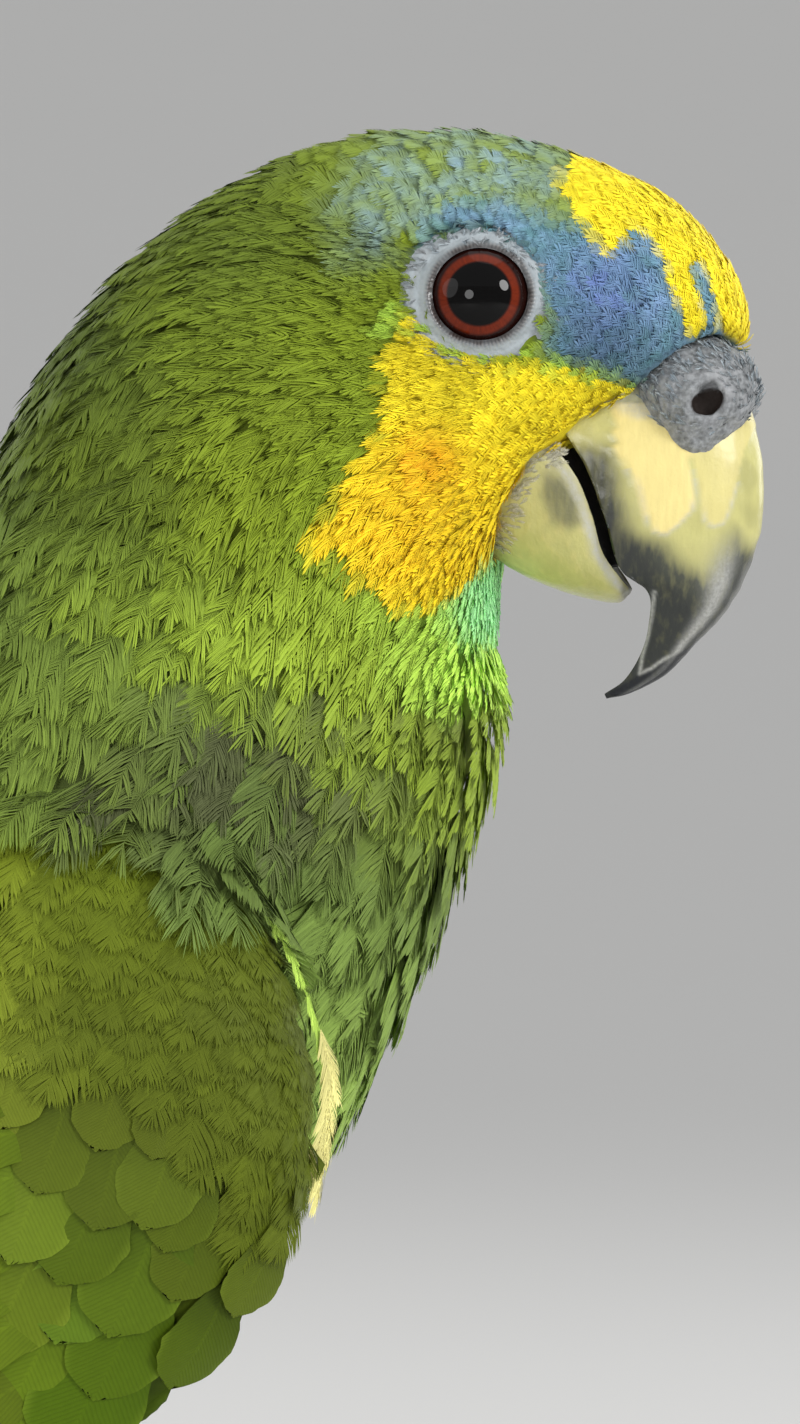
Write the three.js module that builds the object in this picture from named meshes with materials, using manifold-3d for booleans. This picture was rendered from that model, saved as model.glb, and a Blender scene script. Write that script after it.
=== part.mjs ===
// A still, life-size orange-winged amazon parrot that grips a short perch on a plain display stand.
// Millimetres, +Z up, the bird faces +X. The part's origin is the middle of the base's underside.
// The bird is laid out in its own frame, whose origin is in the middle of its throat, and is then
// set on the stand as one group. Its left side is +Y.
import * as THREE from "three";
import { mergeVertices } from "three/addons/utils/BufferGeometryUtils.js";
import Module from "manifold-3d";

const wasm = await Module();
wasm.setup();

// ---- Driving dimensions -------------------------------------------------------------------------

const SEAM = 0.3; // width of the cuts that part the body, and the gap between pieces that touch
const HEAD_TURN = THREE.MathUtils.degToRad(-8); // the head looks a little to the bird's right
const NECK_PIVOT_X = -8;
const NECK_TURNS_FROM_Z = -12; // below this height nothing turns
const NECK_TURNED_AT_Z = 12; // above it everything turns with the head

const THROAT_AT = { x: 45, z: 206 }; // the bird's own origin, over the stand

const EYE = { x: 9.9, z: 42.3, side: 12.4, radius: 6.6 };
const EYE_FACETS = { sides: 14, rings: 8 };

const CERE = { x: 31.4, z: 33.8, side: 3.1, length: 6.6, width: 5.4, height: 5.3 };
const NOSTRIL = { x: 33.1, z: 33.4, radius: 1.5, depth: 4.4 };

const PERCH = { x: -41, z: -112.5, radius: 11, length: 128 };
const TOE_RADIUS = 2.5;
const FOOT_SIDE = 18; // from the bird's middle to each foot

const BASE = { radius: 66, height: 14, edge: 3 };
const ROD = { radius: 5, foot: 11, footHeight: 5 };

// ---- Materials ----------------------------------------------------------------------------------

const finish = (color, roughness, metalness = 0) =>
  new THREE.MeshStandardMaterial({ color, roughness, metalness });

const FINISH = {
  feather: finish(0x6d8a2c, 0.75),
  wingFeather: finish(0x5f7a2a, 0.7),
  flightFeather: finish(0x3f6a35, 0.6),
  tailFeather: finish(0x5c8a30, 0.65),
  horn: finish(0xcfc98a, 0.35),
  cere: finish(0x77797c, 0.7),
  eye: finish(0x1a0c08, 0.05),
  scaledSkin: finish(0x6d6a66, 0.7),
  claw: finish(0x2b2a2b, 0.35),
  bark: finish(0x77706a, 0.9),
  stand: finish(0x3c2a1e, 0.45),
  rod: finish(0xb49a5c, 0.3, 1),
};

// ---- Solids -------------------------------------------------------------------------------------

const vec = (x, y, z) => new THREE.Vector3(x, y, z);
const ease = (from, to, value) => THREE.MathUtils.smoothstep(value, from, to);

// Moves every vertex of a geometry by a rule that changes the vector it is given.
function shaped(geometry, move) {
  const places = geometry.attributes.position;
  const at = new THREE.Vector3();
  for (let i = 0; i < places.count; i++) {
    move(at.fromBufferAttribute(places, i));
    places.setXYZ(i, at.x, at.y, at.z);
  }
  return geometry;
}

// A geometry whose shared vertices are one, with nothing but its positions left.
function welded(geometry) {
  geometry.deleteAttribute("normal");
  geometry.deleteAttribute("uv");
  return mergeVertices(geometry, 1e-3);
}

function solid(geometry) {
  const merged = welded(geometry.clone());
  return new wasm.Manifold(
    new wasm.Mesh({
      numProp: 3,
      vertProperties: merged.attributes.position.array,
      triVerts: new Uint32Array(merged.index.array),
    }),
  );
}

// A solid that takes in the geometry and the seam's width round it, to cut a neighbour with.
function clearanceOf(geometry) {
  const big = welded(geometry.clone());
  big.computeVertexNormals();
  const outward = big.attributes.normal;
  const places = big.attributes.position;
  for (let i = 0; i < places.count; i++) {
    places.setXYZ(
      i,
      places.getX(i) + outward.getX(i) * SEAM,
      places.getY(i) + outward.getY(i) * SEAM,
      places.getZ(i) + outward.getZ(i) * SEAM,
    );
  }
  return solid(big).add(solid(geometry));
}

function named(name, shape, material) {
  const data = shape.getMesh();
  const geometry = new THREE.BufferGeometry()
    .setAttribute("position", new THREE.BufferAttribute(data.vertProperties, 3))
    .setIndex(new THREE.BufferAttribute(data.triVerts, 1));
  geometry.computeVertexNormals();
  const mesh = new THREE.Mesh(geometry, material);
  mesh.name = name;
  return mesh;
}

const without = (shape, ...tools) => tools.reduce((rest, tool) => rest.subtract(tool), shape);
const joined = (shapes) => shapes.reduce((sum, shape) => sum.add(shape));

// The largest piece of a shape, without the slivers that a cut can leave beside it.
const mainPiece = (shape) =>
  shape.decompose().reduce((a, b) => (a.volume() > b.volume() ? a : b));

// Section rules: the angle runs round a ring from its upper edge, through the outer side, to its
// lower edge. "along" is 1 at the upper edge and -1 at the lower one, "across" is the half width.
const oval = (angle) => ({ along: Math.cos(angle), across: Math.sin(angle) });
const hornAbove = (angle) => {
  const { along, across } = oval(angle);
  return { along: along > 0 ? 2 * along - 1 : -1 - 0.35 * along, across };
};
const hornBelow = (angle) => {
  const { along, across } = oval(angle);
  return { along: along < 0 ? 2 * along + 1 : 1 - 0.3 * along, across };
};

// A body drawn through stations. Each has an upper and a lower edge point, [x, z] or [x, y, z], a
// half width across them, and a bulge that bends the section sideways, as a folded wing is bent.
// A notch rule draws the upper edge in by a share of the height, to step it.
function loft({ stations, sides, rings, section = oval, notch = () => 0 }) {
  const point = (p) => (p.length === 3 ? vec(...p) : vec(p[0], 0, p[1]));
  const through = (points) => new THREE.CatmullRomCurve3(points, false, "catmullrom", 0.5);
  const upper = through(stations.map((s) => point(s.upper)));
  const lower = through(stations.map((s) => point(s.lower)));
  const widths = through(stations.map((s) => vec(s.half, s.bulge ?? 0, 0)));
  const tube = new THREE.CylinderGeometry(1, 1, 1, sides, rings);
  return shaped(tube, (v) => {
    const t = 0.5 + v.y;
    const reach = Math.hypot(v.x, v.z);
    const { along, across } = section(Math.atan2(v.x, v.z));
    const under = lower.getPoint(t);
    const top = upper.getPoint(t).lerp(under, notch(t));
    const { x: half, y: bulge } = widths.getPoint(t);
    const middle = top.clone().add(under).multiplyScalar(0.5);
    const up = top.sub(under).multiplyScalar(0.5);
    const share = along * reach;
    v.copy(middle).addScaledVector(up, share);
    v.y += across * reach * half + bulge * (1 - share * share);
  });
}

// A round limb along points [x, y, z] that lie nearly in one upright plane, with a radius at each.
function limb({ points, radii, sides = 10, rings = 10 }) {
  const path = new THREE.CatmullRomCurve3(points.map((p) => vec(...p)));
  const last = points.length - 1;
  const stations = points.map(([x, y, z], i) => {
    const way = path.getTangent(i / last);
    const flat = Math.hypot(way.x, way.z);
    const up = { x: (way.z / flat) * radii[i], z: (-way.x / flat) * radii[i] };
    return {
      upper: [x + up.x, y, z + up.z],
      lower: [x - up.x, y, z - up.z],
      half: radii[i],
    };
  });
  return loft({ stations, sides, rings });
}

const mirrored = (geometry) => {
  const other = shaped(geometry.clone(), (v) => v.set(v.x, -v.y, v.z));
  const { array } = other.index;
  for (let i = 0; i < array.length; i += 3) [array[i + 1], array[i + 2]] = [array[i + 2], array[i + 1]];
  return other;
};

// Turns what lies above the throat with the head, and eases that turn out down the neck.
function headTurned(geometry) {
  return shaped(geometry, (v) => {
    const turn = HEAD_TURN * ease(NECK_TURNS_FROM_Z, NECK_TURNED_AT_Z, v.z + 0.45 * v.x);
    const x = v.x - NECK_PIVOT_X;
    const y = v.y;
    v.x = NECK_PIVOT_X + x * Math.cos(turn) - y * Math.sin(turn);
    v.y = x * Math.sin(turn) + y * Math.cos(turn);
  });
}

// A great block on one side of the plane through a point with the given way down the neck or tail.
function blockBeyond([x, z], [wayX, wayZ], by) {
  const size = 600;
  const block = new THREE.BoxGeometry(size, size, size);
  block.translate(0, 0, size / 2 + by);
  block.applyQuaternion(
    new THREE.Quaternion().setFromUnitVectors(vec(0, 0, 1), vec(wayX, 0, wayZ).normalize()),
  );
  return solid(block.translate(x, 0, z));
}

// ---- Head, neck and trunk -----------------------------------------------------------------------

const BODY_STATIONS = [
  { upper: [36.9, 38.0], lower: [29.5, 32.5], half: 5.0 }, // over the cere
  { upper: [37.2, 42.6], lower: [25.5, 30.5], half: 8.4 },
  { upper: [34.4, 48.4], lower: [21.0, 28.2], half: 11.6 }, // forehead
  { upper: [29.0, 54.2], lower: [16.2, 24.4], half: 14.6 },
  { upper: [20.4, 58.6], lower: [12.4, 19.4], half: 16.6 }, // eyes
  { upper: [10.0, 61.6], lower: [10.4, 14.2], half: 17.8 },
  { upper: [-2.0, 62.0], lower: [10.4, 9.6], half: 19.6 }, // cheeks
  { upper: [-13.4, 58.8], lower: [11.0, 5.0], half: 21.8 },
  { upper: [-24.2, 52.4], lower: [11.6, 0.6], half: 24.2 }, // nape
  { upper: [-33.8, 43.2], lower: [11.2, -3.8], half: 26.2 },
  { upper: [-41.2, 31.6], lower: [10.0, -8.6], half: 28.0 }, // neck
  { upper: [-47.8, 17.6], lower: [7.6, -15.6], half: 29.6 },
  { upper: [-55.2, 1.4], lower: [4.6, -25.0], half: 30.6 }, // breast
  { upper: [-64.0, -16.2], lower: [-0.6, -37.0], half: 30.8 },
  { upper: [-74.0, -34.4], lower: [-8.8, -51.0], half: 29.8 },
  { upper: [-85.0, -52.0], lower: [-20.6, -65.6], half: 27.4 }, // belly
  { upper: [-95.4, -68.4], lower: [-36.4, -79.4], half: 23.8 },
  { upper: [-104.6, -82.6], lower: [-57.0, -92.0], half: 19.4 },
  { upper: [-112.8, -94.8], lower: [-79.0, -104.0], half: 15.0 }, // vent
  { upper: [-120.4, -106.0], lower: [-99.0, -115.4], half: 10.4 },
];

const bodyShape = headTurned(loft({ stations: BODY_STATIONS, sides: 22, rings: 31 }));

// ---- Bill, cere and eyes ------------------------------------------------------------------------

const UPPER_BILL_STATIONS = [
  { upper: [22.0, 1.4], lower: [21.8, 1.9], half: 0.35 }, // tip of the hook
  { upper: [24.8, 2.1], lower: [23.6, 3.4], half: 1.1 },
  { upper: [28.2, 3.9], lower: [25.2, 6.2], half: 2.1 },
  { upper: [31.4, 7.2], lower: [26.2, 9.2], half: 3.4 },
  { upper: [34.8, 10.9], lower: [26.2, 12.4], half: 4.8 }, // the notch for the lower bill
  { upper: [37.1, 15.4], lower: [23.2, 14.8], half: 6.2 },
  { upper: [38.4, 20.6], lower: [21.8, 19.6], half: 7.2 },
  { upper: [38.3, 26.4], lower: [19.8, 25.2], half: 7.7 },
  { upper: [37.1, 31.4], lower: [17.4, 29.8], half: 7.5 },
  { upper: [35.0, 35.5], lower: [17.4, 34.0], half: 6.6 }, // in the face
];
const LOWER_BILL_STATIONS = [
  { upper: [25.0, 13.2], lower: [24.6, 11.4], half: 4.0 }, // cutting edge
  { upper: [21.9, 16.8], lower: [20.6, 11.8], half: 5.6 },
  { upper: [21.0, 20.6], lower: [17.0, 12.8], half: 6.8 },
  { upper: [19.4, 24.8], lower: [12.8, 14.6], half: 7.6 },
  { upper: [16.4, 28.2], lower: [8.6, 17.2], half: 8.0 },
  { upper: [11.6, 28.4], lower: [4.6, 19.6], half: 7.6 }, // in the chin
];

const upperBillShape = headTurned(
  loft({ stations: UPPER_BILL_STATIONS, sides: 14, rings: 13, section: hornAbove }),
);
const lowerBillShape = headTurned(
  loft({ stations: LOWER_BILL_STATIONS, sides: 12, rings: 6, section: hornBelow }),
);

// The cere is two soft swellings, one round each nostril, that meet over the ridge of the bill.
function cereLobe(side) {
  const lobe = new THREE.SphereGeometry(1, 10, 7);
  lobe.scale(CERE.length, CERE.width, CERE.height);
  return headTurned(lobe.translate(CERE.x, side * CERE.side, CERE.z));
}

function nostrilHole(side) {
  const hole = new THREE.CylinderGeometry(NOSTRIL.radius, NOSTRIL.radius, NOSTRIL.depth, 8);
  return headTurned(hole.translate(NOSTRIL.x, side * (CERE.side + CERE.width), NOSTRIL.z));
}

const eyeShape = (side) =>
  headTurned(
    new THREE.SphereGeometry(EYE.radius, EYE_FACETS.sides, EYE_FACETS.rings)
      .rotateX(Math.PI / 2)
      .translate(EYE.x, side * EYE.side, EYE.z),
  );

// ---- Wings and tail -----------------------------------------------------------------------------

const WING_STATIONS = [
  { upper: [-8.3, 27.0, -32.6], lower: [-8.1, 27.5, -42.0], half: 2.2, bulge: 1.6 }, // wrist
  { upper: [-12.8, 29.2, -20.6], lower: [-10.0, 28.2, -54.0], half: 3.2, bulge: 3.8 },
  { upper: [-20.8, 30.4, -13.2], lower: [-15.2, 27.4, -62.8], half: 3.8, bulge: 5.6 }, // shoulder
  { upper: [-33.0, 30.2, -9.6], lower: [-23.6, 26.0, -71.6], half: 4.2, bulge: 7.0 },
  { upper: [-47.0, 27.6, -9.4], lower: [-34.6, 24.6, -80.6], half: 4.3, bulge: 8.2 },
  { upper: [-61.0, 22.6, -15.8], lower: [-47.4, 23.4, -89.6], half: 4.2, bulge: 9.2 },
  { upper: [-74.6, 16.0, -29.4], lower: [-61.6, 21.8, -99.2], half: 3.9, bulge: 9.8 }, // elbow
  { upper: [-88.0, 10.6, -47.6], lower: [-77.4, 20.4, -109.2], half: 3.4, bulge: 9.0 },
  { upper: [-101.0, 7.6, -67.6], lower: [-93.6, 19.4, -119.4], half: 3.0, bulge: 7.2 },
  { upper: [-113.6, 6.0, -88.0], lower: [-109.4, 18.0, -129.8], half: 2.6, bulge: 5.2 },
  { upper: [-126.4, 5.4, -108.6], lower: [-124.0, 16.0, -141.0], half: 2.2, bulge: 3.4 },
  { upper: [-139.0, 5.0, -128.8], lower: [-137.6, 12.8, -151.4], half: 1.7, bulge: 2.0 },
  { upper: [-149.4, 5.0, -146.0], lower: [-149.0, 8.4, -156.4], half: 1.0, bulge: 0.8 }, // tips
];
const WING_PARTED_AT = { place: [-70, -66], way: [-0.72, -0.69] }; // coverts from flight feathers

const TAIL = { length: 98, baseHalf: 12, tipHalf: 19, thick: 2.4, arch: 3.0, steps: 5 };
const TAIL_ROOT = { x: -106, z: -104.5 };
const TAIL_WAY = { x: -0.588, z: -0.809 };

const WING_RINGS = 36;
const RINGS_PER_TIP = 3;
const TIPS_FROM_RING = 21;
const TIP_DEPTH = 0.13; // of the folded wing's height at that place

// Behind the shoulder each flight feather ends a little short of the one below it.
function featherTips(t) {
  const ring = Math.round(t * WING_RINGS) - TIPS_FROM_RING;
  return ring < 0 ? 0 : TIP_DEPTH * (1 - (ring % RINGS_PER_TIP) / RINGS_PER_TIP);
}

const wingShape = loft({
  stations: WING_STATIONS,
  sides: 10,
  rings: WING_RINGS,
  notch: featherTips,
});

// The closed tail: a shallow roof of feathers, each pair a little shorter than the one inside it.
function tailShape() {
  const { length, baseHalf, tipHalf, thick, arch, steps } = TAIL;
  const outline = new THREE.Shape();
  outline.moveTo(0, -baseHalf);
  outline.lineTo(0, baseHalf);
  const stepWidth = tipHalf / (steps + 0.5);
  const inner = (i) => (i === 0 ? 0 : (i - 0.5) * stepWidth);
  for (let i = steps; i > -steps - 1; i--) {
    const end = length * (1 - 0.022 * Math.abs(i) ** 1.6);
    const outer = Math.sign(i) * (inner(Math.abs(i)) + stepWidth * (i === 0 ? 0 : 1));
    const near = i === 0 ? stepWidth / 2 : i > 0 ? outer : -inner(-i);
    const far = i === 0 ? -stepWidth / 2 : i > 0 ? inner(i) : outer;
    outline.lineTo(end - stepWidth, near);
    outline.quadraticCurveTo(end, near, end, (near + far) / 2);
    outline.quadraticCurveTo(end, far, end - stepWidth, far);
  }
  outline.closePath();
  const slab = new THREE.ExtrudeGeometry(outline, { depth: thick, bevelEnabled: false, curveSegments: 2 });
  const under = vec(-TAIL_WAY.z, 0, TAIL_WAY.x); // from the back to the under side
  return shaped(slab, (v) => {
    const drop = v.z - thick / 2 + arch * (v.y / tipHalf) ** 2;
    v.set(
      TAIL_ROOT.x + TAIL_WAY.x * v.x + under.x * drop,
      v.y,
      TAIL_ROOT.z + TAIL_WAY.z * v.x + under.z * drop,
    );
  });
}

// ---- Legs ---------------------------------------------------------------------------------------

const KNEE = { x: -42, z: -66 };
const HEEL = { x: -55, z: -86.5 };
const SOLE = { x: -41.4, z: -98.2, radius: 3.7 };

const thighShape = (side) =>
  limb({
    points: [
      [KNEE.x + 3, side * (FOOT_SIDE - 3), KNEE.z + 6],
      [KNEE.x - 1, side * (FOOT_SIDE - 1.5), KNEE.z - 4],
      [(KNEE.x + HEEL.x) / 2 - 1, side * FOOT_SIDE, (KNEE.z + HEEL.z) / 2 - 1],
      [HEEL.x + 1.5, side * FOOT_SIDE, HEEL.z + 1.5],
    ],
    radii: [11.5, 12.2, 10, 5.6],
    sides: 12,
    rings: 7,
  });

const shankShape = (side) =>
  limb({
    points: [
      [HEEL.x - 0.5, side * FOOT_SIDE, HEEL.z + 0.5],
      [HEEL.x + 4, side * FOOT_SIDE, HEEL.z - 4.4],
      [SOLE.x - 4, side * FOOT_SIDE, SOLE.z + 3.2],
      [SOLE.x, side * FOOT_SIDE, SOLE.z],
    ],
    radii: [4.3, 3.5, 3.5, 3.4],
    sides: 8,
    rings: 5,
  });

const solePad = (side) =>
  new THREE.SphereGeometry(SOLE.radius, 8, 5)
    .scale(1.1, 1.25, 0.8)
    .translate(SOLE.x, side * FOOT_SIDE, SOLE.z);

// Two toes go over the front of the perch and two over the back. Each is an arc round the perch:
// where it starts and ends in degrees from straight ahead, how far it leans out, and its claw.
const TOES = [
  { name: "inner_front", from: 92, to: 4, out: -7.5, claw: 50 },
  { name: "outer_front", from: 92, to: -18, out: 3.5, claw: 52 },
  { name: "inner_back", from: 92, to: 160, out: -5.5, claw: 44 },
  { name: "outer_back", from: 92, to: 194, out: 5.5, claw: 50 },
];
const TOE_PADS = 3;
const TOE_STEPS = 9;
const roundPerch = (degrees, reach) => {
  const angle = THREE.MathUtils.degToRad(degrees);
  return { x: PERCH.x + reach * Math.cos(angle), z: PERCH.z + reach * Math.sin(angle) };
};

function toeShape(toe, side) {
  const points = [];
  const radii = [];
  for (let i = 0; i <= TOE_STEPS; i++) {
    const share = i / TOE_STEPS;
    const at = roundPerch(toe.from + (toe.to - toe.from) * share, PERCH.radius + TOE_RADIUS + SEAM);
    const pad = 0.1 * Math.cos(share * TOE_PADS * 2 * Math.PI);
    points.push([at.x, side * (FOOT_SIDE + toe.out * Math.sin((share * Math.PI) / 2)), at.z]);
    radii.push(TOE_RADIUS * (1 - 0.18 * share - pad));
  }
  return limb({ points, radii, sides: 6, rings: 8 });
}

// A claw goes on from its toe in a tighter curve, and its point rests against the perch.
function clawShape(toe, side) {
  const points = [];
  const radii = [];
  const steps = 5;
  const way = Math.sign(toe.to - toe.from);
  for (let i = 0; i <= steps; i++) {
    const share = i / steps;
    const lift = 2.9 - 0.6 * share ** 2 + 1.6 * Math.sin(Math.PI * share);
    const at = roundPerch(toe.to + way * (1.5 + toe.claw * share), PERCH.radius + lift);
    points.push([at.x, side * (FOOT_SIDE + toe.out), at.z]);
    radii.push(2.0 * (1 - share) ** 0.8 + 0.3);
  }
  return limb({ points, radii, sides: 6, rings: 4 });
}

// ---- Perch and stand ----------------------------------------------------------------------------

// A cut length of branch along Y, with a slight bend, a swelling at each old twig and cut ends.
const PERCH_KNOTS = [
  { along: -0.32, round: 0.6, size: 1.5 },
  { along: 0.24, round: 3.4, size: 1.3 },
  { along: 0.41, round: 5.2, size: 1.7 },
];

function perchShape() {
  const branch = new THREE.CylinderGeometry(1, 1, PERCH.length, 14, 10);
  return shaped(branch, (v) => {
    const share = v.y / PERCH.length;
    const angle = Math.atan2(v.x, v.z);
    const reach = Math.hypot(v.x, v.z);
    const swell = PERCH_KNOTS.reduce((sum, knot) => {
      const apart = Math.hypot((share - knot.along) * 9, Math.sin((angle - knot.round) / 2) * 2.2);
      return sum + knot.size * Math.exp(-apart * apart);
    }, 0);
    const wave = 0.35 * Math.sin(7 * share * Math.PI + angle) + 0.3 * Math.sin(3 * angle + 5 * share);
    const radius = PERCH.radius - 0.6 + wave + swell;
    const bend = -3.2 * (2 * share) ** 2;
    v.set(
      PERCH.x + reach * radius * Math.sin(angle) + bend * 0.6,
      share * PERCH.length,
      PERCH.z + reach * radius * Math.cos(angle) + bend * 0.5,
    );
  });
}

function turned(points, sides) {
  return new THREE.LatheGeometry(points.map(([r, z]) => new THREE.Vector2(r, z)), sides).rotateX(Math.PI / 2);
}

function baseShape() {
  const { radius, height, edge } = BASE;
  const profile = [[0, 0], [radius - 1, 0], [radius, 1], [radius, height - edge - 2]];
  const turns = 3;
  for (let i = 1; i <= turns; i++) {
    const angle = (i / turns) * (Math.PI / 2);
    profile.push([
      radius - edge + edge * Math.cos(angle) - 1 * (i / turns),
      height - edge - 1 + (edge + 1) * Math.sin(angle),
    ]);
  }
  profile.push([0, height]);
  return turned(profile, 32);
}

function rodShape(topZ) {
  const { radius, foot, footHeight } = ROD;
  return turned(
    [
      [0, 0], [foot, 0], [foot, footHeight * 0.4], [foot * 0.72, footHeight * 0.8],
      [radius * 1.1, footHeight], [radius, footHeight * 1.6], [radius, topZ], [0, topZ],
    ],
    12,
  );
}

// ---- Assembly -----------------------------------------------------------------------------------

const model = new THREE.Group();
const bird = new THREE.Group();
bird.position.set(THROAT_AT.x, 0, THROAT_AT.z);
model.add(bird);

const SIDES = [
  { name: "right", sign: -1 },
  { name: "left", sign: 1 },
];

const body = solid(bodyShape);
const bodyTool = clearanceOf(bodyShape);
const upperBillTool = clearanceOf(upperBillShape);
const lowerBillTool = clearanceOf(lowerBillShape);
const cereLobes = SIDES.map(({ sign }) => cereLobe(sign));
const cereTool = joined(cereLobes.map((lobe) => clearanceOf(lobe)));

const HEAD_CUT = { place: [-6, 28], way: [-0.74, -0.67] };
const NECK_CUT = { place: [-22, 2], way: [-0.5, -0.87] };
const beyondHead = (by) => blockBeyond(HEAD_CUT.place, HEAD_CUT.way, by);
const beyondNeck = (by) => blockBeyond(NECK_CUT.place, NECK_CUT.way, by);

const eyeTools = SIDES.map(({ sign }) => clearanceOf(eyeShape(sign)));
const head = without(body, beyondHead(-SEAM / 2), upperBillTool, lowerBillTool, cereTool, ...eyeTools);
const neck = body.intersect(beyondHead(SEAM / 2)).subtract(beyondNeck(-SEAM / 2));
const trunk = body.intersect(beyondNeck(SEAM / 2));
bird.add(
  named("head", mainPiece(head), FINISH.feather),
  named("neck", mainPiece(without(neck, lowerBillTool)), FINISH.feather),
  named("trunk", mainPiece(trunk), FINISH.feather),
);

const cere = without(joined(cereLobes.map(solid)), ...SIDES.map(({ sign }) => solid(nostrilHole(sign))));
bird.add(
  named("cere", mainPiece(cere), FINISH.cere),
  named("bill_upper", mainPiece(without(solid(upperBillShape), cereTool)), FINISH.horn),
  named("bill_lower", mainPiece(without(solid(lowerBillShape), upperBillTool)), FINISH.horn),
);
for (const { name, sign } of SIDES) bird.add(named(`eye_${name}`, solid(eyeShape(sign)), FINISH.eye));

const tail = tailShape();
const tailTool = clearanceOf(tail);
bird.add(named("tail", mainPiece(solid(tail).subtract(bodyTool)), FINISH.tailFeather));

const beyondCoverts = (by) => blockBeyond(WING_PARTED_AT.place, WING_PARTED_AT.way, by);
for (const { name, sign } of SIDES) {
  const shape = sign > 0 ? wingShape : mirrored(wingShape);
  const wing = without(solid(shape), bodyTool, tailTool);
  bird.add(
    named(`wing_${name}`, mainPiece(wing.subtract(beyondCoverts(-SEAM / 2))), FINISH.wingFeather),
    named(`wing_tip_${name}`, mainPiece(wing.intersect(beyondCoverts(SEAM / 2))), FINISH.flightFeather),
  );
}

const feet = [];
for (const { name, sign } of SIDES) {
  const wingTool = clearanceOf(sign > 0 ? wingShape : mirrored(wingShape));
  const thigh = thighShape(sign);
  const footShapes = [shankShape(sign), solePad(sign), ...TOES.map((toe) => toeShape(toe, sign))];
  const foot = without(joined(footShapes.map(solid)), clearanceOf(thigh), bodyTool);
  const footTool = joined(footShapes.map(clearanceOf));
  bird.add(
    named(`thigh_${name}`, mainPiece(without(solid(thigh), bodyTool, wingTool, tailTool)), FINISH.feather),
    named(`foot_${name}`, mainPiece(foot), FINISH.scaledSkin),
  );
  const claws = TOES.map((toe) => clawShape(toe, sign));
  TOES.forEach((toe, i) => {
    const claw = solid(claws[i]).subtract(footTool);
    bird.add(named(`claw_${toe.name}_${name}`, mainPiece(claw), FINISH.claw));
  });
  feet.push(footTool, ...claws.map(clearanceOf));
}

const perch = perchShape();
bird.add(named("perch", mainPiece(without(solid(perch), ...feet)), FINISH.bark));

const rodTop = THROAT_AT.z + PERCH.z - PERCH.radius / 2 - BASE.height - SEAM;
const perchTool = clearanceOf(perch.clone().translate(THROAT_AT.x, 0, THROAT_AT.z));
const rod = solid(rodShape(rodTop).translate(THROAT_AT.x + PERCH.x, 0, BASE.height + SEAM));
model.add(
  named("stand_base", solid(baseShape()), FINISH.stand),
  named("stand_rod", mainPiece(rod.subtract(perchTool)), FINISH.rod),
);

export default model;
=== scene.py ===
import itertools
import math

import bpy
import numpy as np
from bpy.props import FloatProperty, FloatVectorProperty, IntProperty, PointerProperty
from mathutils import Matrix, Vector
from mathutils.bvhtree import BVHTree


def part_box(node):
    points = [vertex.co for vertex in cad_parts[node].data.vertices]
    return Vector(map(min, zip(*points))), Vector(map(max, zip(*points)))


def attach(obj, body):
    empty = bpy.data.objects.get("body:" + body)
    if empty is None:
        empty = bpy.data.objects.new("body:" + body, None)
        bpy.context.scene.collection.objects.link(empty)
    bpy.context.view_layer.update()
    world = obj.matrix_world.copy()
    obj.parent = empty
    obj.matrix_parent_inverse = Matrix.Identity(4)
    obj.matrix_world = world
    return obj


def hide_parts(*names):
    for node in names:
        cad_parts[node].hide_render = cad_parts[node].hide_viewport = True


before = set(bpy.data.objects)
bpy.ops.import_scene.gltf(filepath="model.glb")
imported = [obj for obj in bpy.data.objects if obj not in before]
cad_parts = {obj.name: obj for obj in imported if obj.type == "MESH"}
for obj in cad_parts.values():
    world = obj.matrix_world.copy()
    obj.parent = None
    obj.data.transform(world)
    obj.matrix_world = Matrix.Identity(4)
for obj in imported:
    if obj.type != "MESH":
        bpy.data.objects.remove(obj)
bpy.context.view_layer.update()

bl_info = {
    "name": "Orange-winged amazon",
    "version": (1, 0, 0),
    "blender": (4, 5, 0),
    "location": "3D View > Sidebar > Parrot",
    "description": "Dresses the packed parrot in skin, feathers, horn and bark, on its stand",
    "category": "Add Mesh",
}

# ---- The bird's own frame -----------------------------------------------------------------------
# Shapes are worked out in millimetres from a point in the middle of the bird's throat, with the
# axes of the part: +X is the way the body faces, +Y its left side and +Z up. The head is turned a
# little to the bird's right, so what belongs to the head is placed before that turn.

MM = 0.001
HEAD_TURN = math.radians(-8)
NECK_PIVOT_X = -8.0
NECK_TURN = (-12.0, 12.0)  # the heights between which the turn of the head fades out
EYE = np.array([9.9, 12.4, 42.3])  # the left eye's centre before the turn
EYE_RADIUS = 6.6
BILL_ROOT = np.array([30.0, 0.0, 30.0])
TAIL_WAY = np.array([-0.588, 0.0, -0.809])


def ramp(low, high, value):
    """A smooth step from 0 at the low value to 1 at the high one."""
    share = np.clip((value - low) / (high - low), 0.0, 1.0)
    return share * share * (3.0 - 2.0 * share)


def head_turned(points, way=1.0):
    """Turns what lies above the throat with the head, or back with way=-1."""
    points = np.array(points, float)
    turn = way * HEAD_TURN * ramp(*NECK_TURN, points[..., 2] + 0.45 * points[..., 0])
    x, y = points[..., 0] - NECK_PIVOT_X, points[..., 1].copy()
    points[..., 0] = NECK_PIVOT_X + x * np.cos(turn) - y * np.sin(turn)
    points[..., 1] = x * np.sin(turn) + y * np.cos(turn)
    return points


def middle(node):
    """The middle of a node's box, in metres."""
    low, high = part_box(node)
    return (np.array(low) + np.array(high)) / 2


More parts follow.
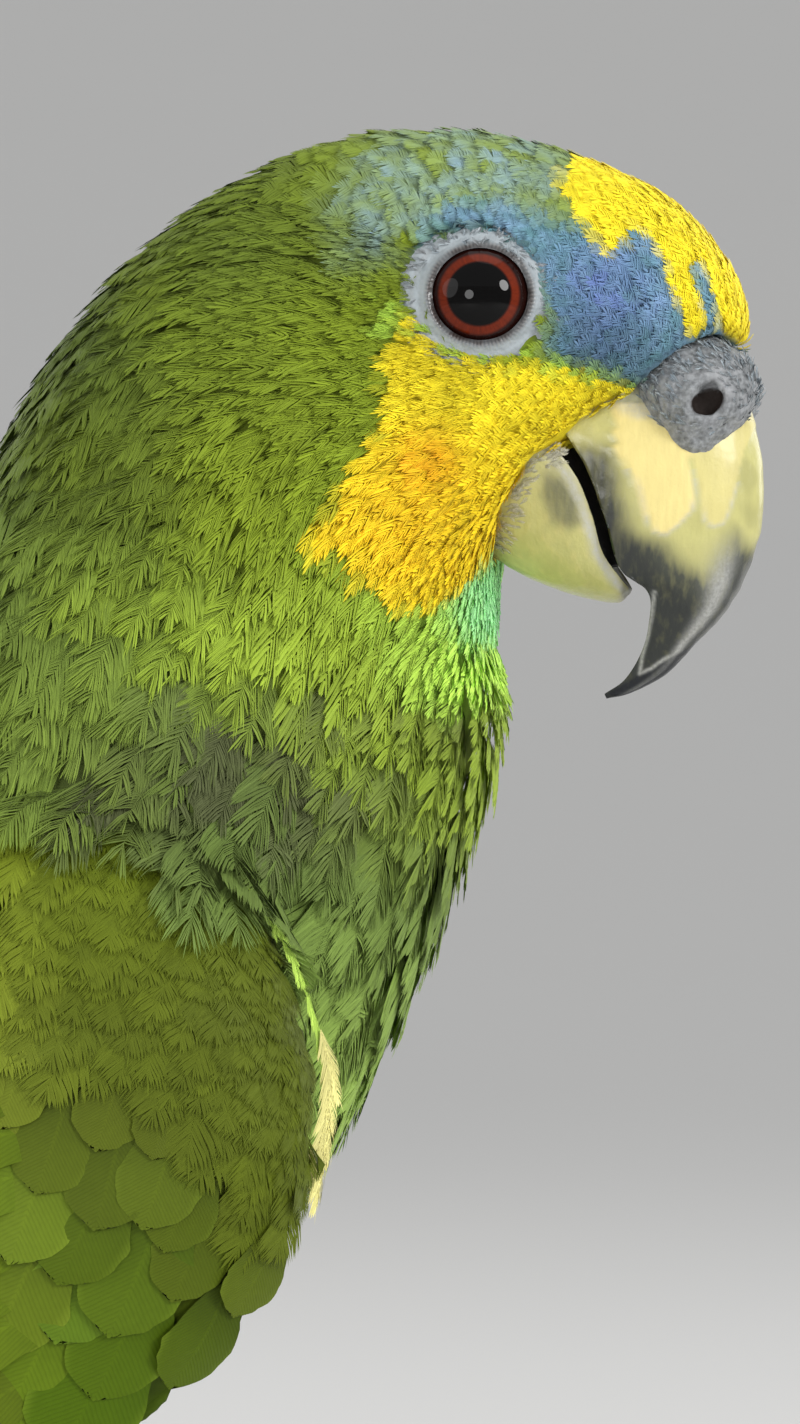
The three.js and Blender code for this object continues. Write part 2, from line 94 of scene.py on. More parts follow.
EYES_MIDDLE = head_turned(EYE * (1, 0, 1))
THROAT = (middle("eye_right") + middle("eye_left")) / 2 - EYES_MIDDLE * MM
PERCH = np.array([-41.0, 0.0, -112.5])
PERCH_RADIUS = 11.0
PERCH_LENGTH = 128.0
NOSTRIL = (33.1, 32.0)  # x and z before the turn
STATIONS = 6  # of a coat feather's shaft


def down_body(points):
    """How far a point lies down the line of the body."""
    return -(0.5 * points[..., 0] + 0.866 * points[..., 2])


def from_eye(head):
    """From the middle of the eye on the same side to places on the unturned head."""
    side = np.sign(head[..., 1])
    return head - EYE * stacked(1, side, 1)


def from_bill(head):
    """How far places on the unturned head lie from the root of the bill."""
    return np.linalg.norm(head - BILL_ROOT, axis=-1)


# ---- Mesh helpers -------------------------------------------------------------------------------


def unit(vectors):
    """Vectors of length 1."""
    return vectors / np.maximum(np.linalg.norm(vectors, axis=-1, keepdims=True), 1e-9)


def square_to(vectors, axes):
    """The part of each vector that is square to its axis, of length 1."""
    return unit(vectors - axes * np.sum(vectors * axes, axis=-1, keepdims=True))


def bell(value, width):
    """A smooth bump: 1 at 0, and under half at the width."""
    return np.exp(-((value / width) ** 2))


def full_turn(count):
    """Angles evenly round a circle."""
    return np.linspace(0, 2 * math.pi, count, endpoint=False)


def stacked(*parts):
    """Values side by side as columns, each spread to the shape of them all."""
    return np.stack(np.broadcast_arrays(*parts), axis=-1)


def length_of(lines):
    """How long each of several lines is."""
    return np.linalg.norm(np.diff(lines, axis=1), axis=2).sum(axis=1)


def placed(name, data):
    """A new object in the scene."""
    made = bpy.data.objects.new(name, data)
    bpy.context.collection.objects.link(made)
    return made


def mesh_object(name, points, faces, finish=None, fields=None, patches=None):
    """Makes a piece from points in the bird's frame and faces with 3 or 4 corners.

    fields are values at the points, and patches are OFBake positions at the points."""
    mesh = bpy.data.meshes.new(name)
    corners = [np.asarray(part).ravel() for part in faces]
    sizes = np.concatenate([np.full(len(part), np.shape(part)[1]) for part in faces])
    loops = np.concatenate(corners)
    mesh.vertices.add(len(points))
    mesh.vertices.foreach_set("co", (THROAT + np.asarray(points) * MM).ravel())
    mesh.loops.add(len(loops))
    mesh.loops.foreach_set("vertex_index", loops)
    mesh.polygons.add(len(sizes))
    mesh.polygons.foreach_set("loop_start", np.concatenate([[0], np.cumsum(sizes)[:-1]]))
    mesh.update(calc_edges=True)
    mesh.polygons.foreach_set("use_smooth", np.full(len(sizes), True))
    add_fields(mesh, fields or {})
    if patches is not None:
        layer = mesh.uv_layers.new(name="OFBake")
        layer.data.foreach_set("uv", np.asarray(patches)[loops].ravel())
    if finish:
        mesh.materials.append(finish)
    return placed(name, mesh)


def mesh_points(mesh):
    """A mesh's points in the bird's frame."""
    points = np.empty(len(mesh.vertices) * 3)
    mesh.vertices.foreach_get("co", points)
    return (points.reshape(-1, 3) - THROAT) / MM


def mesh_corners(mesh):
    """Which point each corner of a mesh's faces lies at."""
    corners = np.empty(len(mesh.loops), int)
    mesh.loops.foreach_get("vertex_index", corners)
    return corners


def set_points(mesh, points):
    """Moves a mesh's points to places in the bird's frame."""
    mesh.vertices.foreach_set("co", (THROAT + points * MM).ravel())
    mesh.update()


def point_normals(mesh):
    """The normals at a mesh's points."""
    normals = np.empty(len(mesh.vertices) * 3)
    mesh.vertex_normals.foreach_get("vector", normals)
    return normals.reshape(-1, 3)


def add_fields(mesh, fields):
    """Adds values at a mesh's points: numbers, vectors or fields of four shares."""
    kinds = {1: ("FLOAT", "value"), 3: ("FLOAT_VECTOR", "vector"), 4: ("FLOAT_COLOR", "color")}
    for field, values in fields.items():
        values = np.asarray(values, float)
        kind, key = kinds[1 if values.ndim == 1 else values.shape[1]]
        mesh.attributes.new(field, kind, "POINT").data.foreach_set(key, values.ravel())


def remeshed(name, points, faces, voxel_mm, smoothings):
    """One even mesh round closed shapes, smoothed."""
    rough = mesh_object(name + "_rough", points, [faces])
    voxels = rough.modifiers.new("even", "REMESH")
    voxels.mode, voxels.voxel_size, voxels.use_smooth_shade = "VOXEL", voxel_mm * MM, True
    soft = rough.modifiers.new("soft", "SMOOTH")
    soft.factor, soft.iterations = 0.5, smoothings
    graph = bpy.context.evaluated_depsgraph_get()
    mesh = bpy.data.meshes.new_from_object(rough.evaluated_get(graph))
    mesh.name = name
    bpy.data.objects.remove(rough)
    mesh.polygons.foreach_set("use_smooth", np.full(len(mesh.polygons), True))
    return placed(name, mesh)


def grid_faces(rows, columns, wrap=False):
    """The quads of a grid of points, row after row, which may close on itself across."""
    row = np.arange(rows - 1)[:, None] * columns
    column = np.arange(columns if wrap else columns - 1)[None, :]
    after = (column + 1) % columns
    quads = [row + column, row + after, row + columns + after, row + columns + column]
    return np.stack(quads, axis=-1).reshape(-1, 4)


def curve_through(points, shares):
    """Catmull-Rom points at shares 0 to 1 of the way through stations, any number of columns."""
    points = np.asarray(points, float)
    padded = np.vstack([2 * points[0] - points[1], points, 2 * points[-1] - points[-2]])
    place = np.clip(shares, 0, 1) * (len(points) - 1)
    at = np.minimum(place.astype(int), len(points) - 2)
    t = (place - at)[..., None]
    a, b, c, d = (padded[at + i] for i in range(4))
    return 0.5 * (
        2 * b + (c - a) * t + (2 * a - 5 * b + 4 * c - d) * t**2 + (3 * b - a - 3 * c + d) * t**3
    )


def loft(stations, shares, along, across):
    """Points of a body drawn through stations (upper x, y, z, lower x, y, z, half width, bulge)."""
    rows = curve_through(stations, shares)
    upper, lower = rows[..., 0:3], rows[..., 3:6]
    half, bulge = rows[..., 6], rows[..., 7]
    points = (upper + lower) / 2 + (upper - lower) / 2 * along[..., None]
    points[..., 1] += across * half + bulge * (1 - along**2)
    return points


def noise(points, size, seed=0.0, depth=2):
    """Smooth noise from about -1 to 1, with lumps of a size in millimetres."""
    total = np.zeros(np.shape(points)[:-1])
    place = np.asarray(points, float) / size + seed * 17.31
    share = 1.0
    for _ in range(depth):
        turn = place @ NOISE_TURN
        whole = np.floor(turn)
        part = turn - whole
        ease = part * part * (3 - 2 * part)
        value = 0.0
        for corner in range(8):
            offset = np.array([corner & 1, corner >> 1 & 1, corner >> 2 & 1])
            cell = whole + offset
            random = np.modf(np.abs(np.sin(cell @ NOISE_HASH) * 43758.5453))[0]
            weight = np.prod(np.where(offset, ease, 1 - ease), axis=-1)
            value = value + weight * random
        total += share * (2 * value - 1)
        share *= 0.5
        place = place * 2.03 + 5.1
    return total


NOISE_TURN = np.array([[0.36, 0.48, -0.8], [-0.8, 0.6, 0.0], [0.48, 0.64, 0.6]])
NOISE_HASH = np.array([127.1, 311.7, 74.7])

# ---- Markings -----------------------------------------------------------------------------------
# Outlines of the markings on the side of the head, as (x, z) corners before the head is turned.

YELLOW_FRONT = [
    (18.4, 75.0), (50.0, 75.0), (50.0, 36.5), (37.4, 37.0), (36.2, 38.2), (34.7, 39.2), (33.9, 42.4),
    (33.4, 44.6), (32.1, 46.4), (31.4, 45.5), (32.4, 42.8), (32.7, 41.2), (32.1, 38.8), (31.2, 38.7),
    (30.7, 41.1), (29.9, 42.7), (29.1, 44.8), (28.5, 47.0), (27.4, 48.4), (26.3, 50.2), (25.6, 49.4),
    (24.9, 48.2), (23.6, 46.5), (22.5, 47.3), (21.4, 49.0), (20.0, 51.2), (18.3, 53.0), (17.8, 55.4),
    (19.0, 56.6),
]
YELLOW_CHEEK = [
    (2.8, 40.9), (4.4, 39.8), (5.9, 38.0), (9.1, 36.4), (12.2, 35.5), (15.3, 35.1), (17.9, 34.7),
    (21.4, 34.0), (24.8, 32.8), (27.0, 31.9), (26.6, 29.6), (22.5, 28.0), (18.9, 27.0), (15.8, 25.2),
    (14.6, 23.5), (13.6, 20.9), (12.5, 17.8), (10.8, 17.1), (9.7, 14.9), (8.4, 12.6), (6.3, 10.8),
    (4.4, 10.0), (1.0, 10.5), (-0.5, 12.0), (-3.0, 14.5), (-6.0, 16.2), (-5.7, 18.6), (-3.2, 20.2),
    (-2.7, 23.4), (-1.2, 25.5), (-0.3, 27.2), (0.7, 29.8), (0.9, 32.0), (0.6, 34.1), (1.4, 36.3),
    (1.6, 37.4), (2.0, 39.5),
]
BLUE_LORE = [
    (3.5, 48.3), (4.5, 50.2), (8.1, 52.4), (11.3, 52.2), (14.5, 51.6), (17.7, 50.4), (20.6, 49.4),
    (23.1, 47.8), (25.6, 50.6), (28.6, 49.6), (32.4, 48.0), (36.0, 43.0), (37.4, 37.0), (31.0, 36.2),
    (28.2, 34.6), (25.9, 33.4), (23.0, 34.4), (19.4, 35.5), (17.0, 36.6), (18.1, 39.6), (17.0, 42.3),
    (15.4, 45.6), (13.1, 47.6), (9.9, 48.4), (7.2, 48.7), (4.1, 46.4),
]
TEAL_CROWN = [
    (-3.0, 45.0), (-5.0, 52.0), (-3.0, 57.5), (2.0, 64.0), (20.0, 64.0), (19.0, 56.0), (21.0, 50.0),
    (15.0, 50.0), (8.0, 50.0), (3.0, 47.0),
]
CHEEK_FRINGE = [
    (0.5, 42.5), (5.0, 40.0), (9.0, 37.8), (14.0, 36.6), (20.0, 35.6), (26.0, 33.6), (25.0, 32.2),
    (18.0, 33.8), (12.0, 34.6), (7.0, 36.0), (3.0, 38.4), (0.6, 36.0), (-0.4, 38.5),
]
LIME_THROAT = [(-2.5, 12.0), (2.0, 9.5), (8.0, 14.5), (14.0, 17.0), (16.0, 3.0), (8.0, -1.0), (0.0, 1.0)]
TURQUOISE_THROAT = [
    (7.6, 13.4), (10.0, 16.6), (13.0, 18.0), (18.0, 12.0), (17.0, 6.2), (12.0, 6.4), (8.6, 7.2),
    (7.8, 9.4),
]

# Four fields of four shares each carry the markings on the skin and the coat; the nape and dusk shares carry
# painted shade as well.
MARK_FIELDS = {
    "marks_warm": ("yellow", "gold", "orange", "cream"),
    "marks_cool": ("blue", "violet", "teal", "turquoise"),
    "marks_green": ("lime", "ruff", "nape", "breast"),
    "marks_body": ("dusk", "belly", "wing", "covert"),
}


def from_line(x, z, corners):
    """How far places lie from a line through (x, z) corners, in millimetres."""
    nearest = np.full(np.shape(x), 1e9)
    for (ax, az), (bx, bz) in zip(corners[:-1], corners[1:]):
        ex, ez = bx - ax, bz - az
        share = np.clip(((x - ax) * ex + (z - az) * ez) / (ex * ex + ez * ez), 0, 1)
        nearest = np.minimum(nearest, np.hypot(x - ax - share * ex, z - az - share * ez))
    return nearest


def inside(x, z, corners, soft):
    """1 inside an outline of (x, z) corners and 0 outside, with an edge so many millimetres soft."""
    corners = [*corners, corners[0]]
    nearest = from_line(x, z, corners)
    within = np.zeros(np.shape(x), bool)
    for (ax, az), (bx, bz) in zip(corners[:-1], corners[1:]):
        crossed = (az > z) != (bz > z)
        within ^= crossed & (x < ax + (z - az) * (bx - ax) / (bz - az if abs(bz - az) > 1e-9 else 1e-9))
    return ramp(-soft, soft, np.where(within, nearest, -nearest))


def spot(x, z, at, radius):
    """A soft round patch."""
    return bell(np.hypot(x - at[0], z - at[1]), radius)


def wing_down(points):
    """How far down the folded wing a point lies from the top of its shoulder, in millimetres."""
    return (points[..., 0] + 22) * -0.45 + (points[..., 2] + 11) * -0.893


def markings(points, wing=0.0):
    """The share of each marking at points, by field. wing is how much of a point is wing."""
    head = head_turned(points, -1)
    x, z = head[..., 0], head[..., 2]
    down = down_body(points)
    body = 1 - wing
    coarse = noise(head, 5.0, 1)
    fine = noise(head, 1.7, 2)
    cheek = inside(x + 0.5 * fine, z + 0.5 * coarse, YELLOW_CHEEK, 0.6)
    front = inside(x + 0.3 * fine, z, YELLOW_FRONT, 0.45)
    fringe = inside(x + 0.6 * fine, z + 0.5 * coarse, CHEEK_FRINGE, 0.7)
    fringe = fringe * ramp(-0.25, 0.25, noise(head, 1.1, 4))
    cheek = cheek * (1 - 0.8 * fringe)
    throat = ramp(26, 14, np.abs(points[..., 1]) + 0.2 * fine)
    flank = ramp(-6, 14, down)
    orange = np.clip(0.75 * spot(x, z, (5.6, 25.6), 2.9) + 0.4 * spot(x, z, (3, 19), 8), 0, 1)
    # some of the ruff's colour comes again low on the side of the neck
    ruff = ramp(23, 6, z + 1.5 * coarse) * ramp(18, 2, down + 2 * coarse)
    low_ruff = 0.36 * ramp(-16, -30, x) * ramp(-20, -10, z) * ramp(16, 4, z)
    low_ruff = low_ruff * ramp(8, 16, np.abs(points[..., 1]))
    # the nape's colour; laid as painted shade on the crown's back, at the brow and behind the eye; less at
    # one patch low on the nape, a painted sheen
    nape = ramp(-14, -30, x + 0.3 * z - 8) * ramp(30, 0, down)
    nape = nape * (1 - 0.38 * spot(x, z, (-30.0, 26.0), 9.0))
    nape = np.maximum(nape, 0.6 * ramp(6, -12, x) * ramp(36, 50, z))
    # darker on the lower lores, and more painted shade behind the eye
    nape = nape + spot(x, z, (22.4, 36.8), 4.5) + 0.45 * spot(x, z, (-17.0, 36.5), 13.0)
    # dusky feathers: low on the throat their own colour, under the ruff and in the slit above the wing
    # painted shade
    dusk = spot(x, 0, (-16, 0), 15) * ramp(-22, -9, z) * ramp(2, -6, z + coarse)
    dusk = np.maximum(dusk, 0.6 * spot(x, z, (5, -1.5), 5)) + 0.8 * spot(x, z, (-31.0, -12.0), 5.0)
    marks = {
        "yellow": np.maximum(cheek, front),
        "gold": cheek * ramp(33, 21, z + 1.5 * coarse),
        "orange": cheek * orange,
        "cream": 0 * x,
        "blue": inside(x + 0.5 * fine, z + 0.4 * coarse, BLUE_LORE, 1.3),
        "violet": inside(x, z, BLUE_LORE, 1.3) * spot(x, z, (22.8, 43.0), 5.6),
        "teal": inside(x, z, TEAL_CROWN, 3.5) * np.clip(0.62 + 0.55 * fine + 0.3 * coarse, 0, 1),
        "turquoise": throat * inside(x + 0.8 * fine, z, TURQUOISE_THROAT, 2.6) * 0.85,
        "lime": np.maximum(throat * inside(x, z + 0.8 * coarse, LIME_THROAT, 2.4), 0.55 * fringe),
        "ruff": np.maximum(ruff, low_ruff),
        "nape": nape,
        "breast": flank,
        "dusk": dusk,
        "belly": flank * ramp(-14, -46, points[..., 2]) * ramp(-60, -20, points[..., 0]),
        "wing": wing * (1 - 0.2 * ramp(-30, -16, z)),
        "covert": wing * ramp(28, 62, wing_down(points) + 5 * noise(points, 14, 5)),
    }
    for field in set(marks) - {"cream", "wing", "covert"}:
        marks[field] = marks[field] * body
    # the coverts are paler towards the back
    pale = wing * ramp(-31, -42, points[..., 0])
    marks["lime"] = marks["lime"] + 0.08 * pale
    marks["yellow"] = marks["yellow"] + 0.05 * pale
    return {
        field: np.stack([np.clip(marks[name], 0, 1) for name in names], axis=-1)
        for field, names in MARK_FIELDS.items()
    }


# ---- Materials ----------------------------------------------------------------------------------


class Wire:
    """A socket's value, so that shader sums read as sums."""

    def __init__(self, finish, socket):
        self.finish = finish
        self.socket = socket

    def _sum(self, operation, *values):
        return self.finish.node("ShaderNodeMath", {"operation": operation}, values)

    def __add__(self, other):
        return self._sum("ADD", self, other)

    __radd__ = __add__

    def __sub__(self, other):
        return self._sum("SUBTRACT", self, other)

    def __rsub__(self, other):
        return self._sum("SUBTRACT", other, self)

    def __mul__(self, other):
        return self._sum("MULTIPLY", self, other)

    __rmul__ = __mul__

    def __pow__(self, other):
        return self._sum("POWER", self, other)

    def clamped(self):
        return self._sum("MAXIMUM", self._sum("MINIMUM", self, 1.0), 0.0)

    def size(self):
        return self._sum("ABSOLUTE", self)

    def wave(self):
        return self._sum("SINE", self)

    def step(self, low, high):
        """A smooth step from 0 at the low value to 1 at the high one, whichever is the larger."""
        settings = {"interpolation_type": "SMOOTHSTEP"}
        return self.finish.node("ShaderNodeMapRange", settings, (self, low, high, 0.0, 1.0))


class Finish:
    """A material whose colour, roughness and relief come from nodes."""

    def __init__(self, name, **constants):
        self.material = bpy.data.materials.new(name)
        self.material.use_nodes = True
        self.tree = self.material.node_tree
        self.tree.nodes.clear()
        self.shader = self.tree.nodes.new("ShaderNodeBsdfPrincipled")
        output = self.tree.nodes.new("ShaderNodeOutputMaterial")
        self.tree.links.new(self.shader.outputs[0], output.inputs[0])
        for socket, value in constants.items():
            self.shader.inputs[socket.replace("_", " ")].default_value = value

    def node(self, kind, settings=None, inputs=(), output=0):
        """Adds a node: its settings, then its sockets' values or links, and returns one output."""
        node = self.tree.nodes.new(kind)
        for key, value in (settings or {}).items():
            setattr(node, key, value)
        pairs = inputs.items() if isinstance(inputs, dict) else enumerate(inputs)
        for key, value in pairs:
            if isinstance(value, Wire):
                self.tree.links.new(value.socket, node.inputs[key])
            else:
                node.inputs[key].default_value = value
        return Wire(self, node.outputs[output])

    def field(self, name, output="Color"):
        return self.node("ShaderNodeAttribute", {"attribute_name": name}, output=output)

    def shares(self, name):
        """The three or four shares of a field."""
        split = self.node("ShaderNodeSeparateColor", {}, {0: self.field(name)}).socket.node
        parts = [Wire(self, socket) for socket in split.outputs]
        return [*parts, self.field(name, "Alpha")]

    def parts(self, name):
        """The three numbers of a vector field."""
        split = self.node("ShaderNodeSeparateXYZ", {}, {0: self.field(name, "Vector")}).socket.node
        return [Wire(self, socket) for socket in split.outputs]

    def place(self):
        return self.node("ShaderNodeTexCoord", output="Object")

    def noise(self, size_mm, detail, stretch=None):
        """Smooth noise from 0 to 1, with lumps of a size."""
        place = self.place()
        if stretch:
            place = self.node("ShaderNodeMapping", {}, {0: place, 3: stretch})
        inputs = {"Vector": place, "Scale": 1 / (size_mm * MM), "Detail": detail}
        return self.node("ShaderNodeTexNoise", {}, inputs)

    def blotches(self, size_mm, detail, gain, cut, stretch=None):
        """Noise made harder: 0 in some places, 1 in others, with soft edges."""
        return (self.noise(size_mm, detail, stretch) * gain - cut).clamped()

    def cells(self, size_mm):
        """The distance from the middle of the nearest cell."""
        inputs = {"Vector": self.place(), "Scale": 1 / (size_mm * MM)}
        return self.node("ShaderNodeTexVoronoi", {"feature": "F1"}, inputs)

    def mix(self, share, first, second):
        """A colour between two colours."""
        node = self.tree.nodes.new("ShaderNodeMix")
        node.data_type = "RGBA"
        sockets = {socket.identifier: socket for socket in node.inputs}
        for key, value in (("Factor_Float", share), ("A_Color", first), ("B_Color", second)):
            if isinstance(value, Wire):
                self.tree.links.new(value.socket, sockets[key])
            else:
                sockets[key].default_value = (*value, 1.0) if np.ndim(value) else value
        return Wire(self, next(s for s in node.outputs if s.identifier == "Result_Color"))

    def layered(self, colour, *layers):
        """A colour with others laid over it in turn, each by its share."""
        for share, over in layers:
            colour = self.mix(share, colour, over)
        return colour

    def shaded(self, colour, share):
        """A colour made darker or lighter by a share."""
        return self.node("ShaderNodeVectorMath", {"operation": "SCALE"}, {0: colour, "Scale": share})

    def made(self, colour, roughness=None, height=None, depth_mm=0.0, coat=None):
        """Feeds the shader: colour, roughness, a height from 0 to 1 that raises the surface, and coat."""
        bump = None
        if height is not None:
            inputs = {"Height": height, "Distance": depth_mm * MM, "Strength": 1.0}
            bump = self.node("ShaderNodeBump", {}, inputs)
        wires = {"Base Color": colour, "Roughness": roughness, "Coat Weight": coat, "Normal": bump}
        for socket, wire in wires.items():
            if wire is not None:
                self.tree.links.new(wire.socket, self.shader.inputs[socket])
        return self.material


def colour_of(code):
    """A colour for Blender's linear light from a web code."""
    parts = [int(code[i : i + 2], 16) / 255 for i in (1, 3, 5)]
    return tuple(p / 12.92 if p <= 0.04045 else ((p + 0.055) / 1.055) ** 2.4 for p in parts)


def darker(colour, share):
    """A colour with a share of its light."""
    return tuple(share * part for part in colour)


def colour_property(name, code, description):
    return FloatVectorProperty(
        name=name, description=description, default=colour_of(code), subtype="COLOR", size=3, min=0, max=1
    )


def size_property(name, default_mm, description):
    return FloatProperty(
        name=name, description=description, default=default_mm * MM, unit="LENGTH", subtype="DISTANCE",
        min=0,
    )


class PARROT_PlumageColours(bpy.types.PropertyGroup):
    leaf: colour_property("Leaf", "#899d25", "Side of the head")
    # the nape's own colour, also laid as painted shade over the crown's back and behind the eye
    nape: colour_property("Nape", "#5f7129", "Back of the head and neck")
    ruff: colour_property("Ruff", "#9eb839", "Yellow-green below the cheeks")
    lime: colour_property("Lime", "#ceff63", "Throat")
    turquoise: colour_property("Turquoise", "#a9ffb8", "Front of the throat")
    breast: colour_property("Breast", "#697e3b", "Breast and back")
    belly: colour_property("Belly", "#9fc058", "Lower breast and belly")
    # dusky feathers, and painted shade under the ruff and above the wing
    dusk: colour_property("Dusk", "#535a37", "Dusky feathers under the ruff")
    yellow: colour_property("Yellow", "#ffea2c", "Front and upper cheek")
    gold: colour_property("Gold", "#ffe224", "Lower cheek")
    orange: colour_property("Orange", "#ff9e17", "Flush on the cheek")
    blue: colour_property("Blue", "#68959d", "Lores and brow")
    violet: colour_property("Violet", "#657ab2", "Middle of the lores")
    teal: colour_property("Teal", "#8daed2", "Crown")
    wing: colour_property("Wing", "#586413", "Lesser coverts")
    covert: colour_property("Covert", "#517102", "Greater coverts")
    cream: colour_property("Cream", "#ece493", "Edge of the wing at the wrist")
    quill: colour_property("Quill", "#477b3b", "Outer webs of the flight feathers")
    ink: colour_property("Ink", "#1d2433", "Inner webs and tips of the flight feathers")
    speculum: colour_property("Speculum", "#b03816", "Patch on the secondaries and the outer tail")
    tail_tip: colour_property("Tail tip", "#a5b83e", "Ends of the tail feathers")
    # how light a feather is at its root: partly its greyer down, partly painted shade under the feathers that
    # overlap it
    root_shade: FloatProperty(
        name="Root shade", description="How light a feather is at its root", default=0.6, min=0, max=1
    )


class PARROT_BareColours(bpy.types.PropertyGroup):
    iris: colour_property("Iris", "#722711", "Iris of the eye")
    iris_rim: colour_property("Iris rim", "#1e0b08", "Dark edge of the iris")
    lid: colour_property("Lid", "#2a2322", "Wet rim of the lids")
    ring: colour_property("Ring", "#a8b2b7", "Bare skin round the eye")
    blue: colour_property("Bristle", "#6f8ba0", "Bluest bristles round the cere and the eyes")
    cere: colour_property("Cere", "#9da0a2", "Cere")
    horn: colour_property("Horn", "#c8c37d", "Pale horn of the bill")
    keratin: colour_property("Keratin", "#ecd990", "Peeling plates on the upper bill")
    # greyed horn, and painted shade along the mouth side of the bill
    smoke_and_shade: colour_property("Smoke", "#44473b", "Greyed horn")
    # the hook's slate, also painted as shade by the mouth and in the gap between the bills
    slate: colour_property("Slate", "#0d1219", "Hook of the bill")
    foot: colour_property("Foot", "#77726d", "Scaled skin of the feet")
    claw: colour_property("Claw", "#232122", "Claws")


class PARROT_StandColours(bpy.types.PropertyGroup):
    bark: colour_property("Bark", "#6f6459", "Bark of the perch")
    bark_crack: colour_property("Bark crack", "#2f2823", "Cracks in the bark")
    lichen: colour_property("Lichen", "#a8ad9a", "Lichen on the bark")
    cut_wood: colour_property("Cut wood", "#b9986a", "Sawn ends of the perch")
    base_wood: colour_property("Base", "#4a2f1e", "Wood of the base")
    base_grain: colour_property("Base grain", "#27170e", "Grain of the base")
    brass: colour_property("Brass", "#b8934a", "Rod of the stand")
    floor: colour_property("Floor", "#dad9d7", "Floor under the stand")


class PARROT_Coat(bpy.types.PropertyGroup):
    skin_grain: size_property("Skin grain", 1.2, "Edge length of the skin's mesh")
    face_depth: size_property("Depth on the face", 0.8, "How far the skin lies under the coat's surface")
    neck_depth: size_property("Depth on the neck", 2.4, "How far the skin lies under the coat's surface")
    body_depth: size_property("Depth on the body", 3.2, "How far the skin lies under the coat's surface")
    wing_depth: size_property("Depth on the wing", 1.2, "How far the skin lies under the coat's surface")
    density: FloatProperty(
        name="Density", description="Feathers for each place where one would just fit", default=1.0, min=0.2
    )
    seed: IntProperty(name="Seed", description="Changes where every feather grows", default=7)


class PARROT_Eye(bpy.types.PropertyGroup):
    pupil: size_property("Pupil", 3.2, "Radius of the pupil")
    iris: size_property("Iris", 4.3, "Radius of the iris")
    opening: size_property("Opening", 4.85, "Radius of the opening between the lids")


# ---- Skin and how the coat lies on it -----------------------------------------------------------

SKIN_NODES = [
    "head", "neck", "trunk", "thigh_right", "thigh_left",
    "wing_right", "wing_left", "wing_tip_right", "wing_tip_left",
]
SIDES = (("right", -1), ("left", 1))


def node_surface(*nodes):
    """The surface of CAD nodes, in the bird's frame, to measure from."""
    points, faces = [], []
    for node in nodes:
        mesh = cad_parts[node].data
        faces.append(mesh_corners(mesh).reshape(-1, 3) + sum(len(p) for p in points))
        points.append(mesh_points(mesh))
    return np.vstack(points), np.vstack(faces)


def tree_of(points, faces):
    """A surface to find the nearest place on."""
    return BVHTree.FromPolygons(points.tolist(), faces.tolist())


def evened(values, edges, rounds):
    """Values at points, averaged with their neighbours a number of times."""
    values = np.array(values, float)
    wide = values.ndim > 1
    count = np.bincount(edges.ravel(), minlength=len(values)).astype(float)
    count = np.maximum(count, 1)
    for _ in range(rounds):
        total = np.zeros_like(values)
        np.add.at(total, edges[:, 0], values[edges[:, 1]])
        np.add.at(total, edges[:, 1], values[edges[:, 0]])
        values = 0.5 * values + 0.5 * total / (count[:, None] if wide else count)
    return values


class Hide:
    """The skin as the feathers need it: the nearest place, its normal and what it belongs to."""

    def __init__(self, points, faces, normals, wing):
        self.tree = tree_of(points, faces)
        self.points = points
        self.faces = faces
        self.normals = unit(normals[faces].mean(axis=1))
        self.wing = wing[faces].mean(axis=1)

    def nearest(self, points):
        """Places on the skin nearest to points, with the normal and the share of wing there."""
        places = np.empty((len(points), 3))
        at = np.empty(len(points), int)
        find = self.tree.find_nearest
        for i, point in enumerate(points.tolist()):
            place, _, at[i], _ = find(point)
            places[i] = place
        return places, self.normals[at], self.wing[at]


HIDE = {}  # holds the skin, once it is made


def coat_depth(points, wing, tip, coat):
    """How far below the coat's surface the skin lies, in millimetres."""
    reach = from_bill(head_turned(points, -1))
    depths = (coat.face_depth, coat.neck_depth, coat.body_depth, coat.wing_depth)
    face, neck, body, blade = (d / MM for d in depths)
    depth = np.interp(reach, [8, 25, 42, 62, 95], [face * 0.7, face, 1.9, neck, body])
    low = np.interp(points[:, 2], [-10, 8], [body, 2.2])
    depth = np.where(points[:, 2] < 8, np.maximum(depth, low), depth)
    depth = depth * (1 - wing) + blade * wing
    return depth * (1 - tip) + 0.4 * tip


# ---- Feathers -----------------------------------------------------------------------------------


